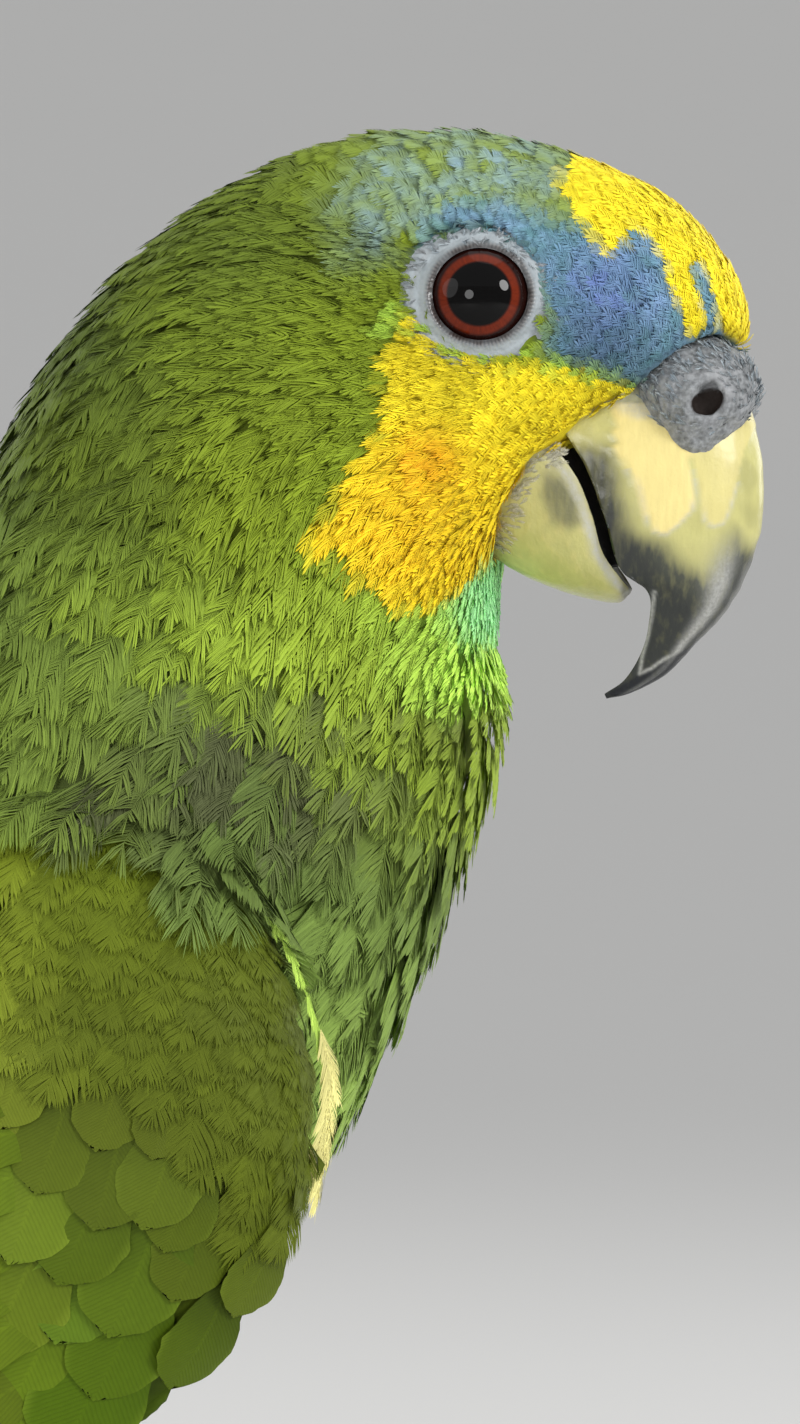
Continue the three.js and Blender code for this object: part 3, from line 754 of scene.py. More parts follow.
class Form:
    """One feather laid flat: places along its shaft (0 to 1) and across it (-1 to 1), and faces.

    Its barbs are tapering ribbons that leave the shaft on both sides and sweep towards the tip.
    cover is how much of the room between two barbs a ribbon fills, and loose how round it looks."""

    JOINTS = {2: (0, 0.66, 1), 3: (0, 0.4, 0.8, 1)}  # where a ribbon's joints lie, and its tip

    def __init__(self, barbs, breadth, cover, fray, splits, sweep, joints, shaft, loose, seed):
        chance = np.random.default_rng(seed)
        shares = np.array(self.JOINTS[joints])
        rows, faces = [], []
        for side in (-1, 1):
            order = (np.arange(barbs) + 0.3 * chance.uniform(-1, 1, barbs)) / (barbs - 0.4)
            root = 0.02 + 0.82 * order
            tip = root + (1.01 - root) * (sweep + (1 - sweep) * np.clip(order, 0, 1) ** 4)
            reach = self.outline(tip) * (1 + fray * chance.uniform(-1.0, 0.4, barbs))
            tip = tip + fray * 0.2 * chance.normal(0, 1, barbs)
            tip = tip + 0.02 * np.interp(root, np.linspace(0, 1, 8), chance.normal(0, 1, 8))
            for gap, pull in zip(chance.uniform(0.2, 0.85, splits), chance.uniform(0.03, 0.1, splits)):
                tip = tip + pull * np.sign(root - gap) * bell(root - gap, 0.12)
            bend = 1.2 + 0.35 * chance.uniform(-1, 1, barbs) * min(1, fray * 5)
            along = root[:, None] + (tip - root)[:, None] * shares**bend[:, None]
            across = reach[:, None] * shares**0.92
            path = stacked(along, across * breadth)
            way = unit(np.gradient(path, axis=1))
            apart = path[1:] - path[:-1]
            room = np.abs(apart[..., 0] * way[:-1, :, 1] - apart[..., 1] * way[:-1, :, 0])
            room = np.vstack([room, room[-1:]])
            room = np.clip(room, 0.25 * np.median(room), 2.5 * np.median(room))
            longest = 0.16 * np.hypot(*np.moveaxis(path[:, -1:] - path[:, :1], -1, 0))
            half = np.minimum(0.5 * cover * room, longest) * (1 - 0.35 * shares**2)
            off = stacked(way[..., 1], -way[..., 0]) * half[..., None]
            chosen = chance.uniform(0, 1, barbs)
            # each ribbon has two edges, which meet in one point at its tip
            at = np.append(np.repeat(np.arange(joints), 2), joints)
            edge = np.append(np.tile((1, -1), joints), 0)
            place = path[:, at] + edge[:, None] * off[:, at]
            across = side * place[..., 1] / breadth
            ribbons = stacked(place[..., 0], across, edge, chosen[:, None], shares[at], edge * half[:, at])
            first = len(at) * (np.arange(barbs) + barbs * (side > 0))
            faces.append((self.strip(joints, pointed=True) + first[:, None, None]).reshape(-1, 4))
            rows.append(ribbons.reshape(-1, 6))
        if shaft:
            at, edge = np.repeat(np.arange(5), 2), np.tile((1, -1), 5)
            wide = edge * shaft * (1 - 0.2 * at) / breadth
            faces.append(self.strip(5) + sum(len(part) for part in rows))
            rows.append(stacked(at * 0.24, wide, edge, 0.75, 0.0, 0.006))
        self.along, self.across, self.edge, self.barb, self.out, self.roll = np.vstack(rows).T
        faces = np.vstack(faces)
        # every face looks up
        flat = stacked(self.along, self.across * breadth)[faces]
        first, second = flat[:, 1] - flat[:, 0], flat[:, 2] - flat[:, 0]
        under = first[:, 0] * second[:, 1] < first[:, 1] * second[:, 0]
        threes = faces[:, 2] == faces[:, 3]
        faces[under & ~threes] = faces[under & ~threes][:, ::-1]
        faces[under & threes] = faces[under & threes][:, [1, 0, 2, 2]]
        self.faces = faces
        self.loose = loose

    @staticmethod
    def strip(joints, pointed=False):
        """Faces of a ribbon with two edges at each joint. A triangle names its last corner twice."""
        faces = [(k, k + 1, k + 3, k + 2) for k in range(0, 2 * joints - 2, 2)]
        last = 2 * joints - 2
        return np.array(faces + [(last, last + 1, last + 2, last + 2)] * pointed)

    @staticmethod
    def outline(along):
        """The half width at places along the shaft, for a feather with a round end."""
        along = np.clip(along, 0, 0.999)
        end = np.sqrt(1 - np.clip((along - 0.6) / 0.4, 0, 1) ** 2.2)
        return np.where(along > 0.6, end, (along / 0.6) ** 0.55)


class Sheet(Form):
    """One smooth feather laid flat, whose barbs hold together up to a slightly ragged edge."""

    def __init__(self, rows, columns, ragged, seed):
        chance = np.random.default_rng(seed)
        last = rows * 3 // 5
        end = 0.6 + 0.4 * np.sin(np.linspace(0, math.radians(87), last + 1)[1:])
        along = np.concatenate([np.linspace(0, 0.6, rows - last), end])[:, None]
        across = np.linspace(-1, 1, columns)[None]
        out = np.abs(across) ** 0.9 * np.sign(across)
        rough = chance.uniform(-1, 0.4, (rows, columns))
        rough = 1 + ragged * (rough + np.roll(rough, 1, axis=0)) * np.abs(across) ** 6
        wide = self.outline(along * (1 + 0 * across))
        flat = 0 * along * across
        grid = stacked(along * (1 - 0.04 * across**2), out * wide * rough, flat, flat)
        self.along, self.across, self.edge, self.roll = grid.reshape(-1, 4).T
        self.barb = np.full(rows * columns, 0.5)
        self.out = (np.abs(across) * (1 - along**6)).ravel()
        self.faces = grid_faces(rows, columns)
        flat = stacked(self.along, self.across)[self.faces[len(self.faces) // 2]]
        first, second = flat[1] - flat[0], flat[2] - flat[0]
        if first[0] * second[1] < first[1] * second[0]:
            self.faces = self.faces[:, ::-1]
        self.loose = 0.0


def turned_about(vectors, axes, angles):
    """Vectors turned about unit axes."""
    c, s = np.cos(angles)[:, None], np.sin(angles)[:, None]
    dots = np.sum(vectors * axes, axis=1, keepdims=True)
    return vectors * c + np.cross(axes, vectors) * s + axes * dots * (1 - c)


NEAR_CELLS = list(itertools.product((-1, 0, 1), repeat=3))


def scattered(hide, spacing_of, wanted, chance, tries):
    """Places on the skin that keep a spacing which may change from place to place."""
    corners = hide.points[hide.faces]
    first, across, last = (corners[:, i] - corners[:, 0] for i in (1, 2, 3))
    areas = np.linalg.norm(np.cross(first, across) + np.cross(across, last), axis=1)
    middles = corners.mean(axis=1)
    share = np.where(wanted(middles, hide.wing), areas / spacing_of(middles) ** 2, 0)
    share = share / share.sum()
    at = chance.choice(len(share), tries, p=share)
    blend = chance.dirichlet((1, 1, 1), tries)
    half = chance.uniform(size=tries) < 0.5
    second = np.where(half[:, None], corners[at, 1], corners[at, 3])
    places = corners[at, 0] * blend[:, :1] + second * blend[:, 1:2] + corners[at, 2] * blend[:, 2:]
    gaps = spacing_of(places)
    cell = float(gaps.max())
    grid = {}
    kept = []
    for i, (place, gap) in enumerate(zip(places.tolist(), gaps.tolist())):
        x, y, z = place
        levels = max(1, round(cell / gap))  # a finer grid where the spacing is finer
        size = cell / levels
        home = (math.floor(x / size), math.floor(y / size), math.floor(z / size))
        near = itertools.chain.from_iterable(
            grid.get((levels, home[0] + dx, home[1] + dy, home[2] + dz), ()) for dx, dy, dz in NEAR_CELLS
        )
        if any((x - ox) ** 2 + (y - oy) ** 2 + (z - oz) ** 2 < gap * gap for ox, oy, oz in near):
            continue
        kept.append(i)
        for level in {levels, levels - 1, levels + 1} - {0}:
            step = cell / level
            key = (level, math.floor(x / step), math.floor(y / step), math.floor(z / step))
            grid.setdefault(key, []).append((x, y, z))
    return places[kept], hide.normals[at[kept]], hide.wing[at[kept]]


def lie_of_coat(points, normals, wing):
    """Which way the feathers run over the skin."""
    head = head_turned(points, -1)
    reach = from_bill(head)[:, None]
    spread = unit((head - BILL_ROOT) * (1, 1.2, 1) + (0, 0, -4.0))
    spread = unit(head_turned(head + 0.05 * spread) - points)
    x = points[:, 0:1]
    sideways = np.sign(points[:, 1:2]) * ramp(0, 18, np.abs(points[:, 1:2]))
    down = np.interp(x, [-50, -10, 20], [-0.6, -0.34, -0.2])
    down = np.hstack([down, 0.10 * sideways, np.full_like(x, -0.85)])
    low = ramp(26, 50, reach) * ramp(40, 14, head[:, 2:3])
    far = np.maximum(low, ramp(48, 72, reach))
    way = spread * (1 - far) + unit(down) * far
    # the coat parts round the eye
    away = from_eye(head)
    near_eye = ramp(15.5, 7.5, np.linalg.norm(away, axis=1, keepdims=True))
    outward = unit(away)
    toward = np.minimum(np.sum(way * outward, axis=1, keepdims=True), 0)
    way = way - near_eye * 1.15 * toward * outward
    back = np.interp(wing_down(points), [0, 30, 62, 110], [-0.16, -0.3, -0.5, -0.62])
    folded = unit(stacked(back, 0.0, -0.85))
    way = way * (1 - wing[:, None]) + folded * wing[:, None]
    return square_to(way, normals)


def laid(hide, roots, normals, wings, lengths, depths, yaws, rise, stiff=0.55, bend_limit=0.3):
    """Shafts of feathers that grow from roots on the skin and follow the lie of the coat.

    Returns the places and the up directions at the stations of each shaft."""
    count = len(roots)
    lines = np.empty((count, STATIONS, 3))
    ups = np.empty((count, STATIONS, 3))
    way = turned_about(lie_of_coat(roots, normals, wings), normals, yaws)
    step = lengths[:, None] / (STATIONS - 1)
    lines[:, 0] = roots + normals * depths[:, None] * 0.12
    ups[:, 0] = normals
    before = way
    for k in range(1, STATIONS):
        share = k / (STATIONS - 1)
        target = lines[:, k - 1] + way * step
        near, up, wing = hide.nearest(target)
        height = depths * (0.12 + 0.88 * share**rise)
        wish = unit(near + up * height[:, None] - lines[:, k - 1])
        # a shaft bends only so far inwards at each step, so it stands clear of a sharp turn
        angle = np.arccos(np.clip(np.sum(wish * before, axis=1), -1, 1))
        inward = np.sum((wish - before) * ups[:, k - 1], axis=1) < 0
        limit = np.where(inward, bend_limit, 3 * bend_limit)
        share_of = np.minimum(1, limit / np.maximum(angle, 1e-6))[:, None]
        wish = unit(before * (1 - share_of) + wish * share_of)
        lines[:, k] = lines[:, k - 1] + wish * step
        ups[:, k] = unit(ups[:, k - 1] * 0.35 + up * 0.65)
        flow = lie_of_coat(lines[:, k], ups[:, k], wing)
        way = unit(wish * stiff + flow * (1 - stiff))
        before = wish
    return lines, ups


def stays_on(ups, limit):
    """Which feathers keep to the surface they grow from, instead of wrapping round an edge."""
    return np.sum(ups[:, 0] * ups[:, -1], axis=1) > limit


def stands_off(hide, lines, ups, halves):
    """How far the end and the sides of each feather stand off the skin, at the most."""
    place = lines.shape[1] * 2 // 3
    ways = lines[:, place] - lines[:, place - 1]
    sides = unit(np.cross(ups[:, place], ways)) * (0.9 * halves)[:, None]
    far = [np.linalg.norm(at - hide.nearest(at)[0], axis=1)
           for at in (lines[:, -1], lines[:, place] + sides, lines[:, place] - sides)]
    return np.max(far, axis=0)


def unwrap(points):
    """Where a place on the bird lies when its skin is unrolled round a line down the body."""
    along = down_body(points)
    ahead = 0.866 * points[..., 0] - 0.5 * points[..., 2] + 15.5
    around = np.arctan2(points[..., 1], ahead) / (2 * math.pi)
    return stacked(0.5 + around * 0.98, (along + 75) / 340)


PATCH = 0.003  # of the OFBake map, for each feather


def dressed(name, forms, lines, ups, halves, chance, finish=None, wings=0.0, roll=0.0, cup=0.25, ripple=0.03,
            soft=0.6, puff=0.12, painted=None, slot="plumage"):
    """Makes one coat piece: feathers of some forms along their shafts.

    soft is how far a feather takes the light like the body under it, puff how round it looks across,
    and painted overrides markings."""
    count = len(lines)
    pick = chance.integers(0, len(forms), count)
    tone = chance.uniform(size=count)
    rolls = chance.normal(0, roll, count)
    tangents = unit(np.gradient(lines, axis=1))
    ups = square_to(ups, tangents)
    sides = np.cross(ups, tangents)
    # a feather is marked by what lies three quarters of the way down its shaft
    at = 0.75 * (STATIONS - 1)
    low = int(at)
    seen = lines[:, low] + (lines[:, low + 1] - lines[:, low]) * (at - low)
    marks = markings(seen, wings + np.zeros(count))
    for field, names in MARK_FIELDS.items():
        for place, mark in enumerate(names):
            if mark in (painted or {}):
                marks[field][:, place] = painted[mark]
    patches = unwrap(lines[:, 0])
    all_points, all_faces, all_ups, fields, uvs = [], [], [], {"vane": [], "strand": []}, []
    for field in marks:
        fields[field] = []
    total = 0
    for index, form in enumerate(forms):
        chosen = np.flatnonzero(pick == index)
        if not len(chosen):
            continue
        basis = curve_through(np.eye(lines.shape[1]), np.clip(form.along, 0, 1))
        past = np.clip(form.along - 1, 0, None)
        centre = np.einsum("tk,nkc->ntc", basis, lines[chosen])
        side = unit(np.einsum("tk,nkc->ntc", basis, sides[chosen]))
        up = unit(np.einsum("tk,nkc->ntc", basis, ups[chosen]))
        lengths = length_of(lines[chosen])
        centre += tangents[chosen, -1][:, None] * (past[None, :, None] * lengths[:, None, None])
        all_ups.append(unit(up + side * (puff * form.across)[None, :, None]).reshape(-1, 3))
        angle = rolls[chosen][:, None] * form.along[None, :]
        side, up = (
            side * np.cos(angle)[..., None] + up * np.sin(angle)[..., None],
            up * np.cos(angle)[..., None] - side * np.sin(angle)[..., None],
        )
        half = halves[chosen][:, None]
        jitter = chance.normal(0, 1, (len(chosen), len(form.along)))
        height = -cup * half * form.across[None] ** 2 + ripple * jitter * form.out[None]
        height = height + form.roll[None] * lengths[:, None] * 0.45 * form.loose
        points = centre + side * (form.across[None] * half)[..., None] + up * height[..., None]
        size = len(form.along)
        all_points.append(points.reshape(-1, 3))
        offsets = total + np.arange(len(chosen)) * size
        all_faces.append((form.faces[None] + offsets[:, None, None]).reshape(-1, 4))
        fields["vane"].append(stacked(form.along, form.across, tone[chosen][:, None]).reshape(-1, 3))
        loose = np.full((len(chosen), 1), form.loose)
        fields["strand"].append(stacked(form.edge, form.barb, loose).reshape(-1, 3))
        for field, values in marks.items():
            fields[field].append(np.repeat(values[chosen], size, axis=0))
        local = stacked(form.across, form.along * 2 - 1) * PATCH / 2
        uvs.append((patches[chosen][:, None] + np.clip(local, -PATCH / 2, PATCH / 2)[None]).reshape(-1, 2))
        total += len(chosen) * size
    faces = np.vstack(all_faces)
    pointed = faces[:, 2] == faces[:, 3]
    fours, threes = faces[~pointed], faces[pointed][:, :3]
    piece = mesh_object(
        name, np.vstack(all_points), [part for part in (fours, threes) if len(part)],
        finish or bpy.data.materials["feather_coat"],
        fields={field: np.vstack(values) for field, values in fields.items()}, patches=np.vstack(uvs),
    )
    own = point_normals(piece.data)
    lit = unit(own * (1 - soft) + np.vstack(all_ups) * soft)
    piece.data.normals_split_custom_set_from_vertices(lit)
    return worn(piece, slot)


# ---- Finishes -----------------------------------------------------------------------------------


def plumage_finish(colours):
    """Feathers of the coat, coloured by the marking fields they and the skin carry."""
    finish = Finish("feather_coat", Roughness=0.6, Sheen_Weight=0.04, Sheen_Roughness=0.4,
                    Specular_IOR_Level=0.14)
    yellow, gold, orange, cream = finish.shares("marks_warm")
    blue, violet, teal, turquoise = finish.shares("marks_cool")
    lime, ruff, nape, breast = finish.shares("marks_green")
    dusk, belly, wing, covert = finish.shares("marks_body")
    along, across, tone = finish.parts("vane")
    edge, barb, loose = finish.parts("strand")
    # each ribbon reads as three finer strands, each with a tone of its own
    strand = finish.node("ShaderNodeMath", {"operation": "FLOOR"}, (edge * 1.49 + 1.5,))
    place = finish.node("ShaderNodeCombineXYZ", {}, (strand, barb * 91, tone * 53))
    fine = finish.node("ShaderNodeTexWhiteNoise", {}, {0: place})
    rim = (across * across * 0.75 + along**6 * 0.6).step(0.45, 0.95)
    patchy = finish.noise(9, 2)
    mottle = finish.noise(2.6, 3)
    paler = (rim * 0.3 + (mottle * 3.2 - 1.25).clamped() * 0.7).clamped()
    blues = finish.mix(paler, colours.blue, colours.teal)
    colour = finish.layered(
        colours.leaf,
        (nape, colours.nape),
        (breast, colours.breast),
        (belly * 0.8, colours.belly),
        (ruff * (0.35 + 0.65 * along), colours.ruff),
        (wing, colours.wing),
        (covert * (0.7 + 0.3 * tone), colours.covert),
        (covert * (tone * 3 - 2.1).clamped() * 0.15, colours.belly),
        # dusky feathers grow darker towards their roots and vary from feather to feather; under the ruff this
        # is painted shade
        ((dusk * (1.3 - 0.7 * along) * (tone * 2.0 - 0.2)).clamped(), colours.dusk),
        (rim * wing * (0.10 + 0.34 * covert), colours.ruff),
        (lime * (0.75 + 0.25 * fine), colours.lime),
        (teal * (rim * 0.55 + mottle * 1.0 - 0.1).clamped(), colours.teal),
        # the blue is darker where the nape's share lies, on the lower lores
        (blue, finish.shaded(blues, 1 - 0.52 * nape)),
        (violet * (0.4 + 0.6 * tone), colours.violet),
        (turquoise, colours.turquoise),
        (yellow, colours.yellow),
        (gold * (0.6 + 0.4 * tone), colours.gold),
        (orange * (0.3 + 0.5 * along), colours.orange),
        (cream, colours.cream),
    )
    # feathers darken towards their roots: partly their greyer down, partly painted shade under the overlap
    # and in the gaps; the yellow, the wing and the breast keep less of it
    root_down_and_shade = colours.root_shade + (1 - colours.root_shade) * along.step(0.02, 0.6)
    root_down_and_shade = root_down_and_shade + (1 - root_down_and_shade) * (yellow * 0.5 + wing * loose * 1.6 + breast * 0.78).clamped()
    streak = 1 + loose * 0.32 * (fine - 0.5) * (1 - 0.5 * yellow)
    # smooth feathers show their barbs as fine lines, and a paler shaft
    sheet = (1 - loose * 8).clamped()
    # smooth feathers darken more towards their base, a painted shade under the feather that lies over them
    root_down_and_shade = root_down_and_shade * (1 - 0.18 * sheet * along.step(0.9, 0.3))
    barbs = ((along * 170 - across.size() * 60 + finish.noise(1.5, 2) * 3).wave() * 0.5 + 0.5) ** 2
    shaft = (across.size() * 16).step(1.0, 0.4) * along.step(1.0, 0.3) * sheet
    streak = streak * (1 - sheet * (0.10 * barbs + 0.16 * finish.noise(0.8, 3))) * (1 + 0.14 * shaft)
    light = root_down_and_shade * (0.88 + 0.22 * tone) * (0.9 + 0.18 * barb) * (0.92 + 0.16 * patchy) * streak
    ribs = (1 - edge * edge) * loose * 0.5 + 0.4 * sheet * barbs + 0.5 * shaft
    rough = (0.68 - 0.2 * barb * along).clamped()
    return finish.made(finish.shaded(colour, light), rough, ribs + 0.25 * finish.noise(0.25, 2), 0.05)


def quill_finish(colours):
    """Flight and tail feathers: fine barbs, a pale shaft, and webs of two colours."""
    finish = Finish("quill_webs", Sheen_Weight=0.08, Specular_IOR_Level=0.35)
    along, across, tone = finish.parts("vane")
    ink, red, tip, lit = finish.shares("webs")
    barbs = ((along * 300 + across.size() * 60 + finish.noise(1.5, 2) * 2).wave() * 0.5 + 0.5) ** 2
    shaft = (across.size() * 9).step(1.0, 0.6)
    colour = finish.layered(
        colours.quill, (lit, colours.covert), (tip, colours.tail_tip), (red, colours.speculum),
        (ink, colours.ink), (shaft * 0.7, colours.dusk),
    )
    light = (0.82 + 0.3 * tone) * (0.86 + 0.2 * barbs) * (0.85 + 0.3 * finish.noise(6, 2))
    height = barbs * 0.6 + shaft * 0.8 + finish.noise(0.8, 2) * 0.3
    return finish.made(finish.shaded(colour, light), 0.62 - 0.14 * barbs, height, 0.1)


def eye_finish(colours):
    """A wet eye with a dark pupil in a red-brown iris."""
    finish = Finish("eye_finish", Roughness=0.28, Coat_Weight=1.0, Coat_Roughness=0.02, Coat_IOR=1.25,
                    Specular_IOR_Level=0.0)
    off, _, _ = finish.parts("gaze")
    rays = finish.node("ShaderNodeTexNoise", {}, {"Vector": finish.field("spokes", "Vector"), "Scale": 1.0})
    inner = off.step(0.97, 1.08)
    fleck = (rays * 1.6 - 0.35).clamped()
    iris = finish.layered(
        darker(colours.iris, 0.62), (fleck, colours.iris), (off.step(1.22, 1.34), colours.iris_rim),
        (off.step(1.06, 0.98) * 0.5, colours.iris_rim),
    )
    colour = finish.mix(inner, (0.0012, 0.001, 0.001), iris)
    return finish.made(colour, 0.2 + 0.2 * rays, rays * inner, 0.04)


def lid_finish(colours):
    """Bare wrinkled skin round the eye with a dark wet rim."""
    finish = Finish("eye_skin_finish", Specular_IOR_Level=0.4, Coat_Roughness=0.25)
    off, ticks, fold = finish.parts("gaze")
    speckle = finish.noise(0.35, 4)
    skin = finish.layered(
        colours.ring,
        ((speckle * 1.6 - 0.4).clamped() * 0.55, (0.46, 0.48, 0.5)),
        (fold * 0.5, colours.cere),
        (off.step(0.32, 0.12), colours.lid),
        (ticks * 0.3, (0.42, 0.4, 0.38)),
        (finish.blotches(1.7, 3, 2.4, 1.0) * 0.6, darker(colours.ring, 0.55)),
    )
    height = finish.cells(0.45) * 0.45 + speckle * 0.35 + (1 - fold) * 0.4
    return finish.made(skin, 0.62 - 0.3 * off.step(0.4, 0.1), height, 0.12, coat=off.step(0.35, 0.05) * 0.7)


def bristle_finish(colours):
    """Tiny pale bristles on the bare skin of the face."""
    finish = Finish("bristle_finish", Roughness=0.7, Specular_IOR_Level=0.2)
    along, _, tone = finish.parts("vane")
    edge, barb, _ = finish.parts("strand")
    colour = finish.layered(
        colours.cere,
        ((tone * 1.6 - 0.3).clamped(), colours.ring),
        (finish.blotches(2.0, 2, 3, 1.4) * 0.5, colours.blue),
        (finish.shares("marks_warm")[3], (0.74, 0.72, 0.60)),
    )
    light = (0.8 + 0.35 * along) * (0.85 + 0.35 * barb)
    return finish.made(finish.shaded(colour, light), None, (1 - edge * edge) * 0.6, 0.04)


def cere_finish(colours):
    """Rough grey skin round the nostrils."""
    finish = Finish("cere_finish", Roughness=0.75, Specular_IOR_Level=0.3)
    pit = finish.field("pit", "Fac")
    speckle = finish.noise(0.5, 5)
    colour = finish.layered(
        darker(colours.cere, 0.42),
        ((speckle * 2.6 - 0.9).clamped(), colours.cere),
        (finish.blotches(2.2, 3, 3.4, 1.5) * 0.6, (0.42, 0.425, 0.44)),
        (finish.blotches(1.2, 4, 4, 2.3) * 0.6, darker(colours.cere, 0.32)),
        # the nostril's pit is painted near black, a painted shade deep in the nostril
        (pit, (0.02, 0.013, 0.01)),
    )
    return finish.made(colour, 0.6 + 0.3 * speckle, speckle * 0.6 + finish.cells(0.5) * 0.4, 0.14)


def horn_finish(colours):
    """Pale horn with peeling plates that greys to slate at the hook, with painted shade by the mouth and a
    painted highlight on the ridge.
    """
    finish = Finish("horn_finish", Specular_IOR_Level=0.35, Coat_Roughness=0.2, Coat_IOR=1.4)
    plate, smoke_and_shade, slate, rim = finish.shares("horn_marks")
    grain = finish.noise(1.6, 4, stretch=(2.4, 2.4, 0.5))
    fine = finish.noise(0.35, 4)
    colour = finish.layered(
        colours.horn,
        (finish.blotches(4.5, 2, 1.8, 0.5) * 0.6, darker(colours.horn, 0.72)),
        (plate * 0.85, colours.keratin),
        ((smoke_and_shade * (0.55 + 0.9 * grain)).clamped(), colours.smoke_and_shade),
        ((slate * (0.75 + 0.5 * grain)).clamped(), colours.slate),
        ((rim * (0.35 + 0.9 * fine)).clamped(), (0.50, 0.50, 0.47)),
    )
    rough = (0.34 + 0.25 * plate + 0.2 * rim + 0.2 * (fine - 0.5)).clamped()
    coat = (0.55 - 0.4 * plate - 0.3 * rim - 0.3 * slate).clamped()
    colour = finish.shaded(colour, 0.88 + 0.24 * grain)
    return finish.made(colour, rough, grain * 0.5 + fine * 0.35, 0.14, coat)


def mouth_finish(colours):
    """The dark moist inside of the mouth, near black, which also stands for the shade between the bills."""
    finish = Finish("mouth_finish", Roughness=0.5, Specular_IOR_Level=0.3)
    folds = finish.noise(1.2, 3)
    colour = finish.mix(folds, darker(colours.claw, 0.3), darker(colours.claw, 0.9))
    return finish.made(colour, None, folds, 0.2)


def foot_finish(colours):
    """Dry scaled skin of the feet."""
    finish = Finish("scaled_skin_finish", Specular_IOR_Level=0.35)
    groove = finish.field("groove", "Fac")
    speckle = finish.noise(0.7, 4)
    colour = finish.layered(
        darker(colours.foot, 0.68), ((speckle * 1.7 - 0.4).clamped(), colours.foot),
        (groove * 0.75, (0.07, 0.065, 0.06)),
    )
    return finish.made(colour, 0.55 + 0.3 * speckle, finish.cells(0.55) * 0.8 + speckle * 0.3, 0.16)


def claw_finish(colours):
    """Dark horn of the claws, a little paler and rougher at the root."""
    finish = Finish("claw_finish", Specular_IOR_Level=0.5, Coat_Roughness=0.2)
    root = finish.field("groove", "Fac")
    streak = finish.noise(0.6, 4)
    colour = finish.mix(root * (0.4 + 0.6 * streak), colours.claw, (0.16, 0.15, 0.14))
    colour = finish.shaded(colour, 0.75 + 0.5 * streak)
    return finish.made(colour, 0.3 + 0.3 * root + 0.15 * streak, streak, 0.06, coat=0.5 - 0.4 * root)


def bark_finish(colours):
    """Weathered bark with cracks and lichen, and sawn ends with rings."""
    finish = Finish("bark_finish", Specular_IOR_Level=0.25)
    crack, cut, ring = finish.parts("bark")
    grain = finish.noise(2.2, 5, stretch=(1.0, 0.22, 1.0))
    patch = finish.blotches(9, 4, 5, 2.9)
    bark = finish.layered(
        darker(colours.bark, 0.6), ((grain * 1.8 - 0.4).clamped(), colours.bark),
        (crack, colours.bark_crack), (patch * 0.65, colours.lichen),
    )
    rings = (ring * 55 + finish.noise(3, 2) * 5).wave() * 0.5 + 0.5
    wood = finish.mix(rings * 0.55, colours.cut_wood, darker(colours.cut_wood, 0.6))
    height = grain * 0.7 + finish.cells(1.3) * 0.25 + patch * 0.2
    return finish.made(finish.mix(cut, bark, wood), 0.78 + 0.18 * grain, height, 0.35)


def base_finish(colours):
    """Oiled dark wood."""
    finish = Finish("stand_wood_finish", Specular_IOR_Level=0.45, Coat_Roughness=0.2)
    warp = finish.noise(60, 2)
    grain = finish.noise(5, 5, stretch=(0.16, 1.0, 1.0))
    bands = ((grain * 26 + warp * 9).wave() * 0.5 + 0.5).clamped()
    pores = finish.blotches(0.9, 2, 6, 3.3, stretch=(0.08, 1.0, 1.0))
    colour = finish.layered(
        colours.base_wood, (bands * 0.8, colours.base_grain), (pores * 0.6, colours.base_grain)
    )
    rough = 0.36 + 0.14 * bands + 0.15 * pores
    return finish.made(colour, rough, 1 - pores * 0.6 - bands * 0.25, 0.12, coat=0.35 - 0.2 * pores)


def brass_finish(colours):
    """Brushed brass of the rod."""
    finish = Finish("stand_metal_finish", Metallic=1.0, Specular_IOR_Level=0.5)
    brush = finish.noise(0.8, 4, stretch=(6.0, 6.0, 0.35))
    tarnish = finish.blotches(7, 4, 2.6, 1.1)
    colour = finish.mix(tarnish * 0.55, colours.brass, darker(colours.brass, 0.55))
    return finish.made(colour, 0.26 + 0.16 * brush + 0.2 * tarnish, brush, 0.03)


def floor_finish(colours):
    """A plain pale floor."""
    finish = Finish("floor", Roughness=0.85, Specular_IOR_Level=0.2)
    return finish.made(finish.mix(finish.noise(400, 3), colours.floor, darker(colours.floor, 0.985)))


# ---- Operators ----------------------------------------------------------------------------------


class Maker(bpy.types.Operator):
    """Makes one part of the parrot"""

    bl_options = {"REGISTER", "UNDO"}

    def execute(self, context):
        self.make(context.scene)
        return {"FINISHED"}


def worn(piece, slot, *nodes):
    """Joins a piece to the model under the root and hides the CAD nodes it stands for. slot is not used."""
    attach(piece, "root")
    if nodes:
        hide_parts(*nodes)
    return piece


